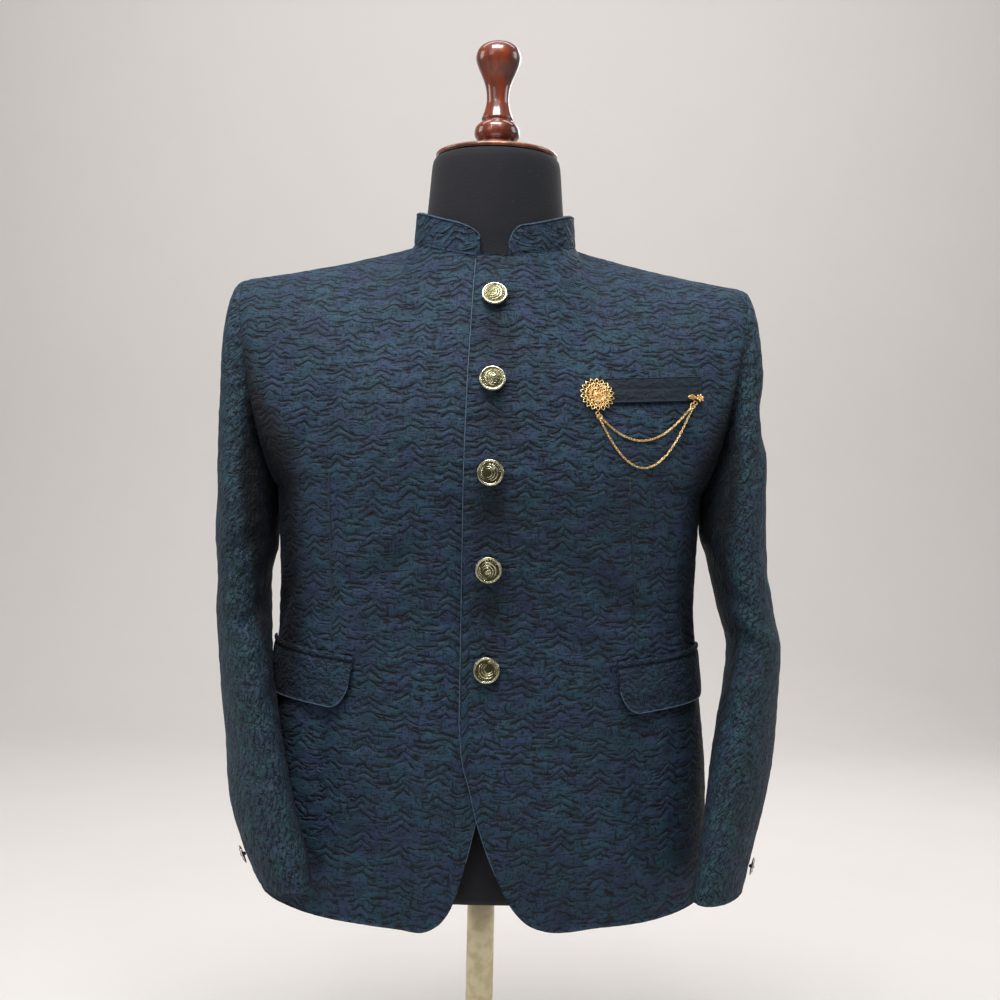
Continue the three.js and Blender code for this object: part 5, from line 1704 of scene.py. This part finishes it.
def smoothed(profile, finer_by=5):
    """More points along a turning's profile, on a soft curve through the given ones."""
    at = np.arange(len(profile))
    fine = np.linspace(0, len(profile) - 1, (len(profile) - 1) * finer_by + 1)
    given = np.array(profile, float)
    radius = np.clip(in_table(at, given[:, 0], fine), 0, given[:, 0].max())
    height = np.clip(in_table(at, given[:, 1], fine), given[0, 1], given[-1, 1])
    radius[0] = radius[-1] = 0
    return list(zip(radius, height))


def add_turning(name, node, profile, segments, place, material, scale=(1, 1, 1)):
    points, faces = turned(profile, segments)
    add_fitting(name, node, [(points * scale, faces)], np.array(place), UP, [material])


def add_finial():
    cap_z = FORM_TOP_Z + SEAM_GAP
    finial_place = (0, FORM_NECK_Y, cap_z + CAP_HEIGHT + SEAM_GAP)
    add_turning("turned_finial", "finial", smoothed(FINIAL_PROFILE), 96, finial_place, WOOD)
    cap, cap_place = smoothed(CAP_PROFILE, 3), (0, FORM_NECK_Y, cap_z)
    add_turning("wooden_neck_cap", "neck_cap", cap, 128, cap_place, CAP_WOOD, (63, 57.5, 1))


def add_stand():
    base = smoothed(BASE_PROFILE, 4)
    add_turning("round_base", "stand_base", base, 96, (0, 0, 0), BASE_PAINT)
    length = FORM_FOOT_Z - BASE_HEIGHT - SEAM_GAP * 2
    pole = [(0, 0), (13.4, 0), (14, 0.8), (14, 30), (14, 60), (14, 120), (14, 190), (14, length - 0.8)]
    pole += [(13.4, length), (0, length)]
    add_turning("pole", "stand_pole", pole, 64, (0, 0, BASE_HEIGHT + SEAM_GAP), POLE_METAL)


# Camera, light and room. Lights: name, place, aim, width, depth, watts and tint, in metres.
LIGHTS = [
    ("ceiling", (-0.15, -0.75, 2.4), (0, 0.0, 0.8), 1.1, 0.7, 44, (0.97, 0.98, 1.0)),
    ("window", (-1.5, -2.0, 1.6), (0, 0, 0.8), 1.0, 1.2, 6, (0.95, 0.97, 1.0)),
    ("wall wash", (0.0, 1.0, 3.4), (0, 3.3, 1.0), 4.0, 1.0, 60),
    ("back window", (1.2, 2.0, 1.9), (0, 0, 0.8), 1.2, 1.2, 14),
    ("left side lamp", (2.6, 0.1, 1.7), (0, 0, 0.75), 1.0, 1.5, 15),
    ("right side lamp", (-2.6, 0.1, 1.7), (0, 0, 0.75), 1.0, 1.5, 15),
    ("spot lamp 1", (-0.9, -1.5, 2.1), (0, 0, 1.0), 0.06, 0.06, 2.2),
    ("spot lamp 2", (-0.45, -1.5, 2.1), (0, 0, 1.0), 0.06, 0.06, 2.2),
    ("spot lamp 3", (0.35, -1.5, 2.1), (0, 0, 1.0), 0.06, 0.06, 2.2),
]


def add_camera():
    data = bpy.data.cameras.new("camera")
    data.lens = 48.9
    data.sensor_width = 36
    data.clip_start = 0.05
    data.clip_end = 40
    camera = new_object("camera", data)
    camera.location = (0.0109, -1.40, 0.680)
    camera.rotation_euler = (np.radians(90), np.radians(-1.2), 0)
    bpy.context.scene.camera = camera


def add_light(name, place, aim, width, depth, watts, tint=(1, 1, 1)):
    data = bpy.data.lights.new(name, "AREA")
    data.shape = "RECTANGLE"
    data.size = width
    data.size_y = depth
    data.energy = watts
    data.color = tint
    light = new_object(name, data)
    light.location = place
    light.rotation_euler = (Vector(aim) - Vector(place)).to_track_quat("-Z", "Y").to_euler()


def add_room():
    material, tree, shader = new_material("pale floor", 0.75)
    speckle = slope(tree, noise(tree, object_place(tree), 6.0, 4.0), 0.3, 0.7)
    pale = blend(tree, speckle, colour(222, 217, 213), colour(223, 218, 214))
    tree.links.new(pale, shader.inputs["Base Color"])
    bend = np.radians(np.linspace(10, 90, 9))
    profile = [(-5, 0), (2.4, 0), *zip(2.4 + np.sin(bend), 1 - np.cos(bend)), (3.4, 4.2)]
    points = np.array([(x, y, z) for y, z in profile for x in (-5.5, 5.5)]) / MM
    add_piece("floor", points, grid_faces(np.arange(len(points)).reshape(-1, 2)), [material])
    world = bpy.data.worlds.new("studio")
    world.use_nodes = True
    background = world.node_tree.nodes["Background"].inputs
    background["Color"].default_value = (0.86, 0.85, 0.84, 1)
    background["Strength"].default_value = 0.14
    bpy.context.scene.world = world
    bpy.context.scene.view_settings.view_transform = "Standard"
    for light in LIGHTS:
        add_light(*light)


add_camera()
add_room()
add_body()
add_sleeves()
add_collar()
add_flaps()
add_breast_welt()
BUTTONHOLE_STITCHES = stitches_tree()
add_front_buttons()
add_cuff_buttons()
add_brooch()
add_leaf_pin()
add_chains()
add_form()
add_finial()
add_stand()
